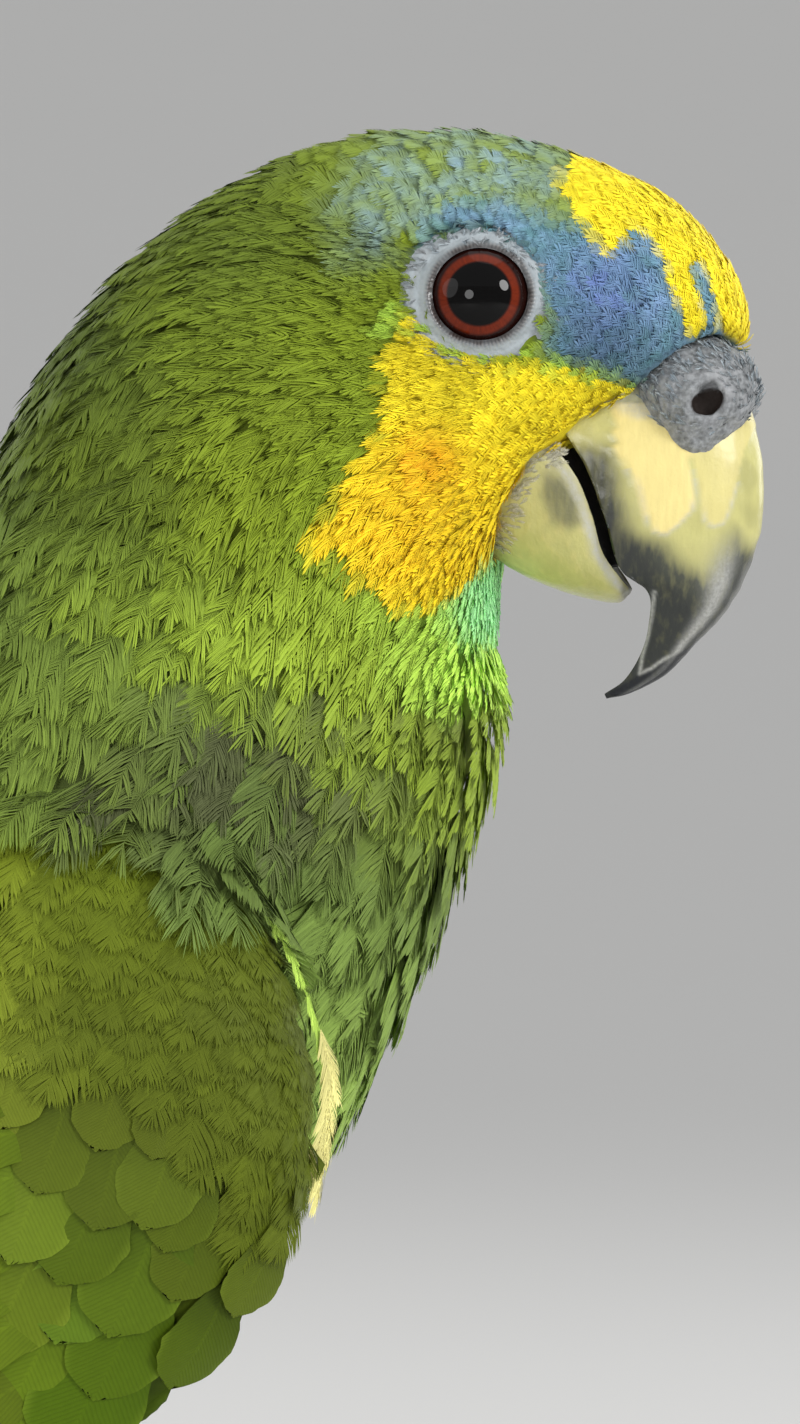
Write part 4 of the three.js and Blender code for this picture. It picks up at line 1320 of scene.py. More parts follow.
class PARROT_OT_skin(Maker):
    """Draws one even skin over the head, neck, trunk, wings and thighs, inside the coat"""

    bl_idname = "parrot.skin"
    bl_label = "Skin"

    def make(self, scene):
        coat = scene.parrot_coat
        points, faces = node_surface(*SKIN_NODES)
        sizes = [len(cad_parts[node].data.polygons) for node in SKIN_NODES]
        label = np.repeat(np.arange(len(SKIN_NODES)), sizes)
        flesh = tree_of(points, faces)
        skin = remeshed("skin", points, faces, coat.skin_grain / MM, smoothings=5)
        mesh = skin.data
        points = mesh_points(mesh)
        labels = np.array([label[flesh.find_nearest(p)[2]] for p in points.tolist()])
        edges = np.empty(len(mesh.edges) * 2, int)
        mesh.edges.foreach_get("vertices", edges)
        edges = edges.reshape(-1, 2)
        wing = evened(labels >= SKIN_NODES.index("wing_right"), edges, 3)
        tip = evened(labels >= SKIN_NODES.index("wing_tip_right"), edges, 5)
        depth = evened(coat_depth(points, wing, tip, coat), edges, 6)
        normals = unit(evened(point_normals(mesh), edges, 3))
        points = evened(points - normals * depth[:, None], edges, 2)
        set_points(mesh, points)
        normals = unit(evened(point_normals(mesh), edges, 2))
        HIDE["skin"] = Hide(points, mesh_corners(mesh).reshape(-1, 4), normals, wing)
        fields = dict(markings(points, wing))
        # the skin is coloured like a feather a quarter of the way from its root, darker than the coat:
        # painted shade in the gaps between the feathers
        fields["vane"] = np.tile((0.25, 0.0, 0.5), (len(points), 1))
        fields["strand"] = np.tile((0.0, 0.5, 0.0), (len(points), 1))
        add_fields(mesh, fields)
        mesh.materials.append(plumage_finish(scene.parrot_plumage))
        worn(skin, "plumage", *SKIN_NODES)


def feather_length(points):
    """How long the feathers are that grow at places on the head, neck and body."""
    head = head_turned(points, -1)
    down = down_body(points)
    reaches, by_reach = [4, 10, 20, 32, 42, 52, 66, 85], [1.6, 2.2, 3.0, 4.2, 5.2, 6.6, 9.2, 12.0]
    downs, by_down = [-30, -12, 0, 15, 60, 130], [0, 5.2, 8.8, 12, 16, 19]
    length = np.interp(from_bill(head), reaches, by_reach)
    length = np.maximum(length, np.interp(down, downs, by_down))
    low = ramp(-52, -70, points[:, 2]) * ramp(-75, -55, points[:, 0])
    low = np.maximum(low, ramp(-36, -46, points[:, 2]) * ramp(13, 17, np.abs(points[:, 1])))
    low = np.maximum(low, ramp(-80, -98, points[:, 0]))
    length = length * (1 - low) + 8.0 * low
    throat = ramp(1, 7, head[:, 0]) * ramp(19, 14, head[:, 2]) * ramp(-3, 3, head[:, 2])
    length = length * (1 - 0.32 * throat)
    return length * np.interp(np.linalg.norm(from_eye(head), axis=1), [8, 16], [0.55, 1.0])


RING_MIDDLE = (10.6, 42.5)  # x and z of the middle of the bare skin round the eye


def bare_ring(turn):
    """How far the bare skin reaches from the eye's middle, by the angle from straight ahead."""
    turns = np.radians([-180, -150, -120, -90, -60, -38, -15, 0, 25, 50, 90, 130, 180])
    return np.interp(turn, turns, [6.5, 6.5, 6.8, 7.3, 8.6, 9.2, 8.4, 7.6, 6.9, 6.2, 5.8, 6.1, 6.5])


WING_COVERS = 13.0  # how near under a wing nothing grows
BARE_GAP = 0.9  # how near the bill, cere and feet nothing grows


def grows_feathers(hide, bare, points, normals):
    """Which places grow feathers: not the eyes' bare skin, the bill's bed or what a wing covers."""
    head = head_turned(points, -1)
    dx, dz = head[:, 0] - RING_MIDDLE[0], head[:, 2] - RING_MIDDLE[1]
    ragged = 0.55 * noise(head, 1.1, 9) - 0.75
    eye = (np.hypot(dx, dz) < bare_ring(np.arctan2(dz, dx)) + ragged) & (np.abs(head[:, 1]) > 6)
    covered = np.zeros(len(points), bool)
    for i, (point, normal) in enumerate(zip(points, normals)):
        start = Vector(point + normal * 0.4)
        hit = hide.tree.ray_cast(start, Vector(normal), WING_COVERS)[0]
        covered[i] = hit is not None or bare.find_nearest(Vector(point))[3] < BARE_GAP
    return ~(eye | covered)


def rooted(hide, spacing_of, wanted, bare, chance, tries):
    """Roots of feathers: their places, the normals there and the share of wing."""
    roots, normals, wings = scattered(hide, spacing_of, wanted, chance, tries)
    grows = grows_feathers(hide, bare, roots, normals)
    return roots[grows], normals[grows], wings[grows]


class PARROT_OT_coat(Maker):
    """Grows the feathers of the face, crown, cheeks, neck and body"""

    bl_idname = "parrot.coat"
    bl_label = "Coat"

    # barbs to a side, breadth, cover, fray, splits, sweep, joints, shaft and looseness
    FORMS = {
        "face": (9, 0.36, 0.95, 0.25, 0, 0.66, 2, 0.0, 0.6),
        "crown": (22, 0.46, 1.10, 0.10, 1, 0.60, 2, 0.0, 0.45),
        "cheek": (9, 0.21, 0.80, 0.30, 1, 0.80, 3, 0.0, 1.0),
        "neck": (36, 0.36, 0.86, 0.14, 3, 0.72, 3, 0.0, 0.9),
        "body": (42, 0.34, 0.88, 0.16, 4, 0.70, 3, 0.006, 0.9),
    }
    # gap between roots for each length of feather, wander of the way they lie and roll in degrees, cup
    # across for each half width, ripple in millimetres, and how softly they take the light
    LIE = {
        "face": (0.255, 9, 7, 0.15, 0.015, 0.80),
        "crown": (0.25, 7, 4, 0.15, 0.015, 0.75),
        "cheek": (0.185, 8, 8, 0.18, 0.03, 0.65),
        "neck": (0.235, 10, 7, 0.16, 0.04, 0.77),
        "body": (0.245, 15, 8, 0.16, 0.05, 0.74),
    }

    OFF_MOST = 4.7  # how far a feather's end may stand off the skin, in millimetres

    @staticmethod
    def regions(points):
        """The kind of feather that grows at each place."""
        head = head_turned(points, -1)
        reach = from_bill(head)
        x, z = head[:, 0], head[:, 2]
        region = np.where(down_body(points) < 14, "neck", "body").astype(object)
        region[(reach < 52) & (z > 4)] = "cheek"
        region[(reach < 46) & (z > 45.5 - 0.35 * (x - 10)) & (z > 36)] = "crown"
        region[(reach < 24) & (z > 20)] = "face"
        return region

    def make(self, scene):
        coat = scene.parrot_coat
        hide = HIDE["skin"]
        chance = np.random.default_rng(coat.seed)
        bare = tree_of(*node_surface("bill_upper", "bill_lower", "cere", "foot_right", "foot_left"))

        def gaps(points):
            share = np.array([self.LIE[name][0] for name in self.regions(points)])
            return feather_length(points) * share / math.sqrt(coat.density)

        def off_wing(points, wing):
            return wing < 0.5

        roots, normals, wings = rooted(hide, gaps, off_wing, bare, chance, tries=90000)
        region = self.regions(roots)
        for name, form in self.FORMS.items():
            forms = [Form(*form, seed) for seed in range(6)]
            _, wander, roll, cup, ripple, soft = self.LIE[name]
            for side, sign in SIDES:
                chosen = (region == name) & (np.sign(roots[:, 1] + 1e-6) == sign)
                at, up, wing = roots[chosen], normals[chosen], wings[chosen]
                count = len(at)
                lengths = feather_length(at) * chance.uniform(0.85, 1.2, count)
                depths = coat_depth(at, wing, 0 * wing, coat) * chance.uniform(0.8, 1.15, count)
                yaws = np.radians(wander) * chance.normal(0, 1, count)
                front = np.exp(-((at[:, 0] - 13) ** 2 + (at[:, 2] + 1) ** 2 + 0.2 * at[:, 1] ** 2) / 22)
                chest = ramp(-10, -24, at[:, 2]) * ramp(18, 9, np.abs(at[:, 1])) * ramp(-40, -20, at[:, 0])
                depths = depths * (1 + 0.9 * front) * (1 - 0.2 * chest)
                lines, ups = laid(hide, at, up, wing, lengths, depths, yaws, rise=0.55)
                halves = lengths * form[1] * chance.uniform(0.85, 1.15, count) * (1 + 0.4 * chest)
                kept = stays_on(ups, 0.35) & (stands_off(hide, lines, ups, 0 * halves) < self.OFF_MOST)
                dressed(
                    f"coat_{name}_{side}", forms, lines[kept], ups[kept], halves[kept], chance,
                    roll=math.radians(roll), cup=cup, ripple=ripple, soft=soft,
                )


class PARROT_OT_coverts(Maker):
    """Grows the coverts of the wings, small at the shoulder and large below"""

    bl_idname = "parrot.coverts"
    bl_label = "Wing coverts"

    # half width for each length, wander in degrees, how softly they take the light, how far they may
    # stand off the skin in millimetres, how far out they must face, and how round they look
    KINDS = {
        "lesser_coverts": (0.42, 9, 0.95, 0.7, -0.15, 0.1),
        "great_coverts": (0.34, 5, 0.6, 1.3, 0.4, 0.4),
    }
    WORN = {"cup": 0.05, "ripple": 0.005}
    # where a row over the flight feathers starts along the wing and how far it reaches, how many
    # feathers it has, how high their ends stand, and their half width
    QUILL_ROWS = ((0.285, 0.25, 17, 0.0, 4.6), (0.245, 0.205, 15, 0.5, 4.2))

    def make(self, scene):
        coat = scene.parrot_coat
        hide = HIDE["skin"]
        chance = np.random.default_rng(coat.seed + 1)
        bare = tree_of(*node_surface("foot_right", "foot_left"))

        def before_quills(points):
            return (points[:, 0] + 47) * 0.985 + (points[:, 2] + 9.4) * 0.172

        def lengths_at(points):
            down = np.interp(wing_down(points), [-5, 17, 29, 75], [5.0, 7.5, 15.0, 26.0])
            down = down * np.interp(points[:, 0], [-21, -12], [1.0, 0.66])
            return np.maximum(down, np.interp(before_quills(points), [-4, 8, 20], [14.0, 9.0, 5.0]))

        def gaps(points):
            share = np.interp(lengths_at(points), [8, 12], [0.22, 0.31])
            return lengths_at(points) * share / math.sqrt(coat.density)

        def on_wing(points, wing):
            return (wing > 0.5) & (before_quills(points) > -9)

        roots, normals, wings = rooted(hide, gaps, on_wing, bare, chance, tries=24000)
        is_great = lengths_at(roots) > 10
        for name, (breadth, wander, soft, off_most, out_least, puff) in self.KINDS.items():
            great = name == "great_coverts"
            if great:
                forms = [Sheet(22, 15, 0.05, 20 + seed) for seed in range(6)]
            else:
                forms = [Form(30, breadth, 1.25, 0.14, 0, 0.74, 2, 0.0, 0.2, 20 + seed) for seed in range(6)]
            for side, sign in SIDES:
                chosen = (np.sign(roots[:, 1]) == sign) & (is_great == great)
                at, up, wing = roots[chosen], normals[chosen], wings[chosen]
                count = len(at)
                lengths = lengths_at(at) * chance.uniform(0.88, 1.15, count)
                yaws = np.radians(wander) * chance.normal(0, 1, count)
                thick = (coat.wing_depth / MM) * chance.uniform(0.75, 1.0, count)
                # feathers that would hang over the wing's edge grow shorter
                for _ in range(4):
                    depths = thick + 0.018 * lengths
                    shafts = (at, up, wing, lengths, depths, yaws)
                    lines, ups = laid(hide, *shafts, rise=0.6, stiff=0.7, bend_limit=0.2)
                    off = stands_off(hide, lines, ups, breadth * lengths * great) - depths
                    outward = np.minimum(ups[:, 0, 1], ups[:, -1, 1]) * sign
                    kept = stays_on(ups, 0.62) & (off < off_most) & (outward > out_least)
                    lengths = np.where(kept, lengths, 0.72 * lengths)
                lines, ups = lines[kept], ups[kept]
                dressed(
                    f"{name}_{side}", forms, lines, ups, length_of(lines) * breadth, chance, **self.WORN,
                    wings=np.ones(len(lines)), roll=math.radians(2), soft=soft, puff=puff,
                )
        self.over_quills(chance)
        self.edge(chance)

    def over_quills(self, chance):
        """Lays two rows of long coverts over the roots of the flight feathers."""
        forms = [Sheet(22, 15, 0.05, 50 + seed) for seed in range(6)]
        shares = np.linspace(0, 1, STATIONS)
        for side, sign in SIDES:
            lines, ups, halves = [], [], []
            for start, reach, count, rise, half in self.QUILL_ROWS:
                for i in range(count):
                    height = 0.93 - 1.84 * i / (count - 1)
                    along = start + reach * shares * chance.uniform(0.94, 1.06) + 0.012 * abs(height)
                    climb = np.interp(height, [-0.95, -0.45, 1], [0.02, 0.2, 0.06])
                    path = height + 0.02 + climb * shares + chance.normal(0, 0.012)
                    line, up = wing_face(along, path, sign)
                    lift = np.interp(shares, [0, 0.25, 0.6, 1], [-3.8, -2.3, 0.8, 2.6])
                    lift = lift + (rise + 0.6 + 0.6 * height) * shares
                    line = line + up * lift[:, None]
                    tilt = np.cross(up, unit(np.gradient(line, axis=0))) * sign
                    lines.append(line)
                    ups.append(unit(up + 0.085 * tilt))
                    halves.append(half)
            lines, ups = np.array(lines), np.array(ups)
            dressed(
                f"quill_coverts_{side}", forms, lines, ups, np.array(halves), chance, **self.WORN,
                wings=np.ones(len(lines)), roll=0.02, soft=0.5, puff=0.3,
                painted={"covert": 1.0, "lime": 0.05, "yellow": 0.05},
            )

    # The front edge of the folded wing from its shoulder down, and where its narrow pale feathers root.
    EDGE = [(-19.0, 29.6, -14.2), (-14.2, 29.4, -18.6), (-10.6, 28.8, -25.0), (-8.4, 28.0, -31.5),
            (-7.6, 27.6, -37.0), (-8.2, 27.8, -43.0), (-9.6, 28.0, -52.0)]

    def edge(self, chance):
        """Lines the front edge of the wing with narrow lime feathers, and the wrist with cream ones."""
        for side, sign in SIDES:
            limes, creams = np.linspace(0.12, 0.66, 46), np.linspace(0.50, 0.84, 17)
            place = np.concatenate([limes, creams])
            is_cream = np.arange(len(place)) >= len(limes)
            lengths = np.where(is_cream, np.interp(place, [0.5, 0.84], [4.6, 7.4]), 3.0)
            lengths = lengths * chance.uniform(0.85, 1.15, len(place))
            at = curve_through(self.EDGE, place)
            way = unit(curve_through(self.EDGE, place + 0.06) - at)
            out = square_to(unit(np.tile((0.75, 0.66, 0.0), (len(place), 1))), way)
            at = at + out * np.where(is_cream, 0.7, 0.35)[:, None]
            yaws = np.radians(6) * chance.normal(0, 1, len(place)) - 0.12 * is_cream
            way = turned_about(way, out, yaws)
            shares = np.linspace(0, 1, STATIONS)
            lines = at[:, None] + way[:, None] * (lengths[:, None] * shares)[..., None]
            lines[..., 0] -= 0.10 * lengths[:, None] * shares**2 * 0.8
            ups = np.repeat(out[:, None], STATIONS, axis=1)
            forms = [Form(9, 0.3, 1.0, 0.14, 1, 0.75, 2, 0.0, 0.6, 40 + seed) for seed in range(4)]
            dressed(
                f"wing_edge_{side}", forms, lines * (1, sign, 1), ups * (1, sign, 1),
                np.where(is_cream, 1.25, 0.42), chance, wings=np.ones(len(place)), roll=0.1, cup=0.3,
                painted={"lime": np.where(is_cream, 0.0, 1.0), "cream": np.where(is_cream, 1.0, 0.15)},
            )


BLADE_SHARES = np.linspace(0, 1, 26) ** 0.9  # where along a long feather its rows of points lie


def blade(line, up, halves, thick, cup, tip, ragged, seed, columns=9):
    """One long closed feather along a centre line, as a grid above and one below.

    Returns its points, its faces, and how far along and across each point lies."""
    chance = np.random.default_rng(seed)
    shares = BLADE_SHARES
    centre = curve_through(line, shares)
    tangent = unit(np.gradient(centre, axis=0))
    normal = square_to(curve_through(up, shares), tangent)
    side = np.cross(normal, tangent)
    rows = len(shares)
    across = np.linspace(-1, 1, columns)
    width = np.interp(shares, [0, 0.12, 0.5, 1 - tip], [0.35, 0.75, 1.0, 1.0])
    last = np.clip((shares - (1 - tip)) / tip, 0, 1)
    width = width * np.sqrt(np.clip(1 - last**2.2, 0.0025, 1))
    rough = 1 + ragged * chance.uniform(-1, 0.3, (rows, columns)) * (np.abs(across) > 0.9)
    spread = across[None] * (width * halves)[:, None] * rough
    grid = centre[:, None] + side[:, None] * spread[..., None]
    height = -cup * across[None] ** 2 * (width * halves)[:, None]
    grid = grid + normal[:, None] * height[..., None]
    body = thick * (1 - 0.75 * across[None] ** 2) * (1 - 0.7 * shares[:, None])
    body = body + 0.35 * thick * bell(across[None], 0.09) * (1 - shares[:, None])
    above = (grid + normal[:, None] * (body / 2)[..., None]).reshape(-1, 3)
    below = (grid - normal[:, None] * (body / 2)[..., None]).reshape(-1, 3)
    top = grid_faces(rows, columns)
    bottom = top[:, ::-1] + rows * columns
    rim = np.concatenate([
        np.arange(columns), np.arange(1, rows) * columns + columns - 1,
        rows * columns - 2 - np.arange(columns - 1), (np.arange(rows - 2, 0, -1)) * columns,
    ])
    after = np.roll(rim, -1)
    wall = stacked(after, rim, rim + rows * columns, after + rows * columns)
    along = np.repeat(shares, columns)
    flat = np.tile(across, rows)
    return np.vstack([above, below]), np.vstack([top, bottom, wall]), np.tile(along, 2), np.tile(flat, 2)


class Blades:
    """Gathers long feathers into one piece."""

    def __init__(self):
        self.points, self.faces, self.vane, self.webs, self.patches = [], [], [], [], []
        self.count = 0

    def add(self, parts, tone, webs_of, patch):
        """Adds a feather, with its two webs' colours and the columns of the map that it takes."""
        points, faces, along, across = parts
        self.faces.append(faces + self.count)
        self.points.append(points)
        self.count += len(points)
        self.vane.append(stacked(along, across, tone))
        self.webs.append(stacked(*webs_of(along, across)))
        low, high = np.array([patch[0], 0.02]), np.array([patch[1], 0.98])
        self.patches.append(low + (high - low) * stacked(across * 0.5 + 0.5, along))

    def piece(self, name, slot, finish, *nodes):
        fields = {"vane": np.vstack(self.vane), "webs": np.clip(np.vstack(self.webs), 0, 1)}
        points, patches = np.vstack(self.points), np.vstack(self.patches)
        return worn(mesh_object(name, points, [np.vstack(self.faces)], finish, fields, patches), slot, *nodes)


# Stations of the folded wing, wrist first: upper edge, lower edge, half width and bulge.
WING_STATIONS = [
    (-8.3, 27.0, -32.6, -8.1, 27.5, -42.0, 2.2, 1.6),
    (-12.8, 29.2, -20.6, -10.0, 28.2, -54.0, 3.2, 3.8),
    (-20.8, 30.4, -13.2, -15.2, 27.4, -62.8, 3.8, 5.6),
    (-33.0, 30.2, -9.6, -23.6, 26.0, -71.6, 4.2, 7.0),
    (-47.0, 27.6, -9.4, -34.6, 24.6, -80.6, 4.3, 8.2),
    (-61.0, 22.6, -15.8, -47.4, 23.4, -89.6, 4.2, 9.2),
    (-74.6, 16.0, -29.4, -61.6, 21.8, -99.2, 3.9, 9.8),
    (-88.0, 10.6, -47.6, -77.4, 20.4, -109.2, 3.4, 9.0),
    (-101.0, 7.6, -67.6, -93.6, 19.4, -119.4, 3.0, 7.2),
    (-113.6, 6.0, -88.0, -109.4, 18.0, -129.8, 2.6, 5.2),
    (-126.4, 5.4, -108.6, -124.0, 16.0, -141.0, 2.2, 3.4),
    (-139.0, 5.0, -128.8, -137.6, 12.8, -151.4, 1.7, 2.0),
    (-149.4, 5.0, -146.0, -149.0, 8.4, -156.4, 1.0, 0.8),
]


def wing_face(shares, along, sign):
    """Places on the outer face of a folded wing and the way out of it."""
    shares, along = np.broadcast_arrays(np.asarray(shares, float), np.asarray(along, float))

    def place(s, a):
        across = np.sqrt(np.clip(1 - a**2, 0, 1))
        points = loft(WING_STATIONS, s, a, across)
        return points * (1, sign, 1)

    a = np.clip(along, -0.97, 0.97)
    points = place(shares, a)
    ahead = place(np.clip(shares + 0.01, 0, 1), a) - place(np.clip(shares - 0.01, 0, 1), a)
    upward = place(shares, a + 0.02) - place(shares, a - 0.02)
    out = unit(np.cross(upward, ahead)) * sign
    out = out * np.sign(out[..., 1:2] * sign + 1e-9)
    points = points + unit(upward) * ((along - a) * 12)[..., None]
    return points, out


class PARROT_OT_quills(Maker):
    """Lays the flight feathers of the folded wings, each over the one below it"""

    bl_idname = "parrot.quills"
    bl_label = "Flight feathers"

    def make(self, scene):
        finish = quill_finish(scene.parrot_plumage)
        chance = np.random.default_rng(scene.parrot_coat.seed + 2)
        shares = np.linspace(0, 1, 12)
        for side, sign in SIDES:
            blades = Blades()
            # primaries: where the tip ends along the wing, and how high root and tip lie on it
            rows = [(0.49, 0.90 + 0.1 * (1 - i / 7), -0.93 + 0.14 * i, -0.55 + 0.16 * i, 0.5, True)
                    for i in range(8)]
            # secondaries and the feathers nearest the back
            rows += [(0.46, 0.885 - 0.034 * i, -0.62 + 0.155 * i, 0.34 + 0.066 * i, 1.0 + 0.07 * i, False)
                     for i in range(10)]
            for i, (start, end, low, high, out, primary) in enumerate(rows):
                line, up = wing_face(start + (end - start) * shares, low + (high - low) * shares**1.2, sign)
                line = line + up * (np.interp(shares, [0, 0.2, 1], [0.1, out, out * 0.8]))[:, None]
                along = unit(np.gradient(line, axis=0))
                tilt = np.cross(up, along) * sign
                up = unit(up + 0.075 * tilt)
                half = np.interp(shares, [0, 0.3, 1], [4.0, 6.4, 5.6 if primary else 6.6])
                half = np.interp(BLADE_SHARES, shares, half)
                tip = 0.16 if primary else 0.1
                parts = blade(line, up, half, 0.5, cup=0.07, tip=tip, ragged=0.02, seed=100 + i)
                secondary = i - 8

                def webs(v, u, primary=primary, secondary=secondary):
                    outer = ramp(0.15, -0.15, u * sign)
                    if primary:
                        ink = np.maximum(1 - outer, ramp(0.62, 0.86, v))
                        return ink, 0 * v, 0 * v, np.maximum(0.3 * outer, ramp(0.2, 0.08, v))
                    red = ramp(0.5, 0.56, v) * ramp(0.8, 0.74, v) * outer if 1 <= secondary <= 3 else 0 * v
                    ink = np.maximum(ramp(-0.05, 0.35, u * sign) * 0.8, 0.85 * ramp(0.86, 0.98, v))
                    green = secondary > 6
                    lit = np.maximum(0.85 if green else 0.35, ramp(0.2, 0.08, v))
                    return ink * (0.25 if green else 1), red, 0 * v, lit

                blades.add(parts, chance.uniform(), webs, (0.05 * i + 0.01, 0.05 * i + 0.05))
            blades.piece(f"flight_feathers_{side}", "flight_feathers", finish)


class PARROT_OT_tail(Maker):
    """Fans the twelve tail feathers, the middle pair on top"""

    bl_idname = "parrot.tail"
    bl_label = "Tail"

    def make(self, scene):
        finish = bpy.data.materials["quill_webs"]
        chance = np.random.default_rng(scene.parrot_coat.seed + 3)
        root = np.array([-106.0, 0.0, -104.5])
        under = np.array([0.809, 0.0, -0.588])
        shares = np.linspace(0, 1, 10)
        blades = Blades()
        for order, place in enumerate(sorted(np.arange(-5.5, 6, 1), key=lambda p: -abs(p))):
            length = 98 * (1 - 0.022 * abs(place) ** 1.6) - 0.5
            side = np.interp(shares, [0, 1], [7.5, 13.4]) * place / 5.5
            drop = 3.0 * (side / 19) ** 2 - 1.1 + 0.2 * abs(place) + 0 * shares
            line = root + TAIL_WAY * (shares * length - 4)[:, None] + under * drop[:, None]
            line[:, 1] += side
            up = unit(np.tile(-under + (0, 0.035 * place + 0.05 * np.sign(place), 0), (len(shares), 1)))
            half = np.interp(BLADE_SHARES, [0, 0.4, 1], [3.4, 5.0, 5.4])
            parts = blade(line, up, half, 0.55, cup=0.06, tip=0.12, ragged=0.015, seed=200 + order)

            def webs(v, u, place=place):
                outer = ramp(-0.1, 0.1, u * np.sign(place))
                red = ramp(0.12, 0.3, v) * ramp(0.66, 0.5, v) * (1 - outer)
                red = red * np.clip((abs(place) - 1) / 2, 0, 1)
                edge = outer * ramp(3, 5.5, abs(place) + 0 * v) * 0.7
                return edge, red, ramp(0.62, 0.8, v), 0.2 + 0 * v

            blades.add(parts, chance.uniform(), webs, (0.08 * order + 0.01, 0.08 * order + 0.07))
        blades.piece("tail_feathers", "flight_feathers", finish, "tail")


def eye_axes(sign):
    """The middle of an eye in the head, and the ways it looks, up and ahead."""
    middle_of_eye = EYE * (1, sign, 1)
    turn = -HEAD_TURN
    look = np.array([math.sin(turn), sign * math.cos(turn), 0.0])
    ahead = np.array([math.cos(turn), -sign * math.sin(turn), 0.0])
    return middle_of_eye, look, np.array([0.0, 0.0, 1.0]), ahead


class PARROT_OT_eyes(Maker):
    """Sets the eyes and folds the lids and the bare skin round them"""

    bl_idname = "parrot.eyes"
    bl_label = "Eyes and lids"

    def make(self, scene):
        ball_finish, skin_finish = eye_finish(scene.parrot_bare), lid_finish(scene.parrot_bare)
        for side, sign in SIDES:
            axes = eye_axes(sign)
            self.ball(side, axes, scene.parrot_eye.pupil / MM, ball_finish)
            self.lids(side, axes, scene.parrot_eye.opening / MM, skin_finish)

    @staticmethod
    def ball(side, axes, pupil, finish, rings=72, turns=96):
        """The eyeball, with a slight bulge over the pupil."""
        centre, look, upward, ahead = axes
        bend = np.linspace(0, math.pi * 0.62, rings)[:, None]
        turn = full_turn(turns)[None]
        off = EYE_RADIUS * np.sin(bend)
        bulge = 0.28 * np.exp(-((off / 4.4) ** 4)) * (bend < 1.5)
        reach = EYE_RADIUS * np.cos(bend) + bulge
        points = (
            centre + look * reach[..., None] + ahead * (off * np.cos(turn))[..., None]
            + upward * (off * np.sin(turn))[..., None]
        )
        away = np.where(bend < math.pi / 2, off, 2 * EYE_RADIUS - off) + 0 * turn
        fields = {
            "gaze": stacked(away / pupil, 0.0, 0.0).reshape(-1, 3),
            "spokes": stacked(np.cos(turn) * 14, np.sin(turn) * 14, away * 0.9).reshape(-1, 3),
        }
        points = head_turned(points.reshape(-1, 3))
        ball = mesh_object(f"eyeball_{side}", points, [grid_faces(rings, turns, wrap=True)], finish, fields)
        worn(ball, "eye", f"eye_{side}")

    @staticmethod
    def seats(rim, look):
        """How far out the skin lies over a rim of places round the eye, evened a little."""
        heights = np.empty(len(rim))
        far = 30
        for i, point in enumerate(head_turned(rim + look * far)):
            start = Vector(point)
            way = Vector(head_turned(rim[i : i + 1])[0] - point).normalized()
            hit = HIDE["skin"].tree.ray_cast(start, way)[0]
            heights[i] = far - (start - hit).length if hit is not None else 4.0
        return sum(np.roll(heights, step) for step in (3, -3, 1, -1, 0)) / 5

    def lids(self, side, axes, opening, finish, rings=40, turns=360):
        """The lids and the bare skin round them, as one ring of folds."""
        centre, look, upward, ahead = axes
        turn = full_turn(turns)
        outer = bare_ring(np.arctan2(np.sin(turn), np.cos(turn))) + 1.9
        share = (np.linspace(0, 1, rings) ** 1.15)[:, None]
        slit = opening * (1 - 0.035 * np.sin(turn) ** 2 + 0.03 * np.cos(turn - 0.5))
        off = slit + (outer - slit) * share
        flat = centre + ahead * (off * np.cos(turn))[..., None] + upward * (off * np.sin(turn))[..., None]
        # the far edge of the ring dips under the skin, the near edge rides on the eye
        on_eye = np.sqrt(np.clip(EYE_RADIUS**2 - slit**2, 0, None)) + 0.12
        swell = 0.62 * np.exp(-(((off - slit) - 0.55) ** 2) / 0.34)
        slope = share**0.8
        height = on_eye * (1 - slope) + (self.seats(flat[-1], look) - 0.15) * slope + swell
        height = height + 0.9 * share * (1 - share)
        # folds that run round the eye, and fine ridges across the rim
        front = np.clip(np.cos(turn - 0.6), 0, 1)
        phase = (off - slit) * 2 * math.pi / 1.05 + 0.5 * np.sin(3 * turn) + 0.4 * np.sin(7 * turn + 1)
        fold = (0.5 + 0.5 * np.cos(phase)) * ramp(0.75, 1.6, off - slit) * ramp(1.0, 0.75, share)
        height = height - 0.17 * fold * (0.35 + 0.65 * front)
        comb = 0.5 + 0.5 * np.cos(84 * turn)
        band = bell(off - slit - 0.62, 0.4)
        height = height + 0.07 * band * comb * (0.45 + 0.55 * np.clip(np.cos(turn + 0.4), 0, 1))
        height = height + 0.07 * noise(stacked(off * np.cos(turn), off * np.sin(turn), 0.0), 0.8)
        points = head_turned((flat + look * height[..., None]).reshape(-1, 3))
        fields = {"gaze": stacked((off - slit) / 3.2, comb * band, fold).reshape(-1, 3)}
        lids = mesh_object(f"lids_{side}", points, [grid_faces(rings, turns, wrap=True)], finish, fields)
        worn(lids, "bare_skin")


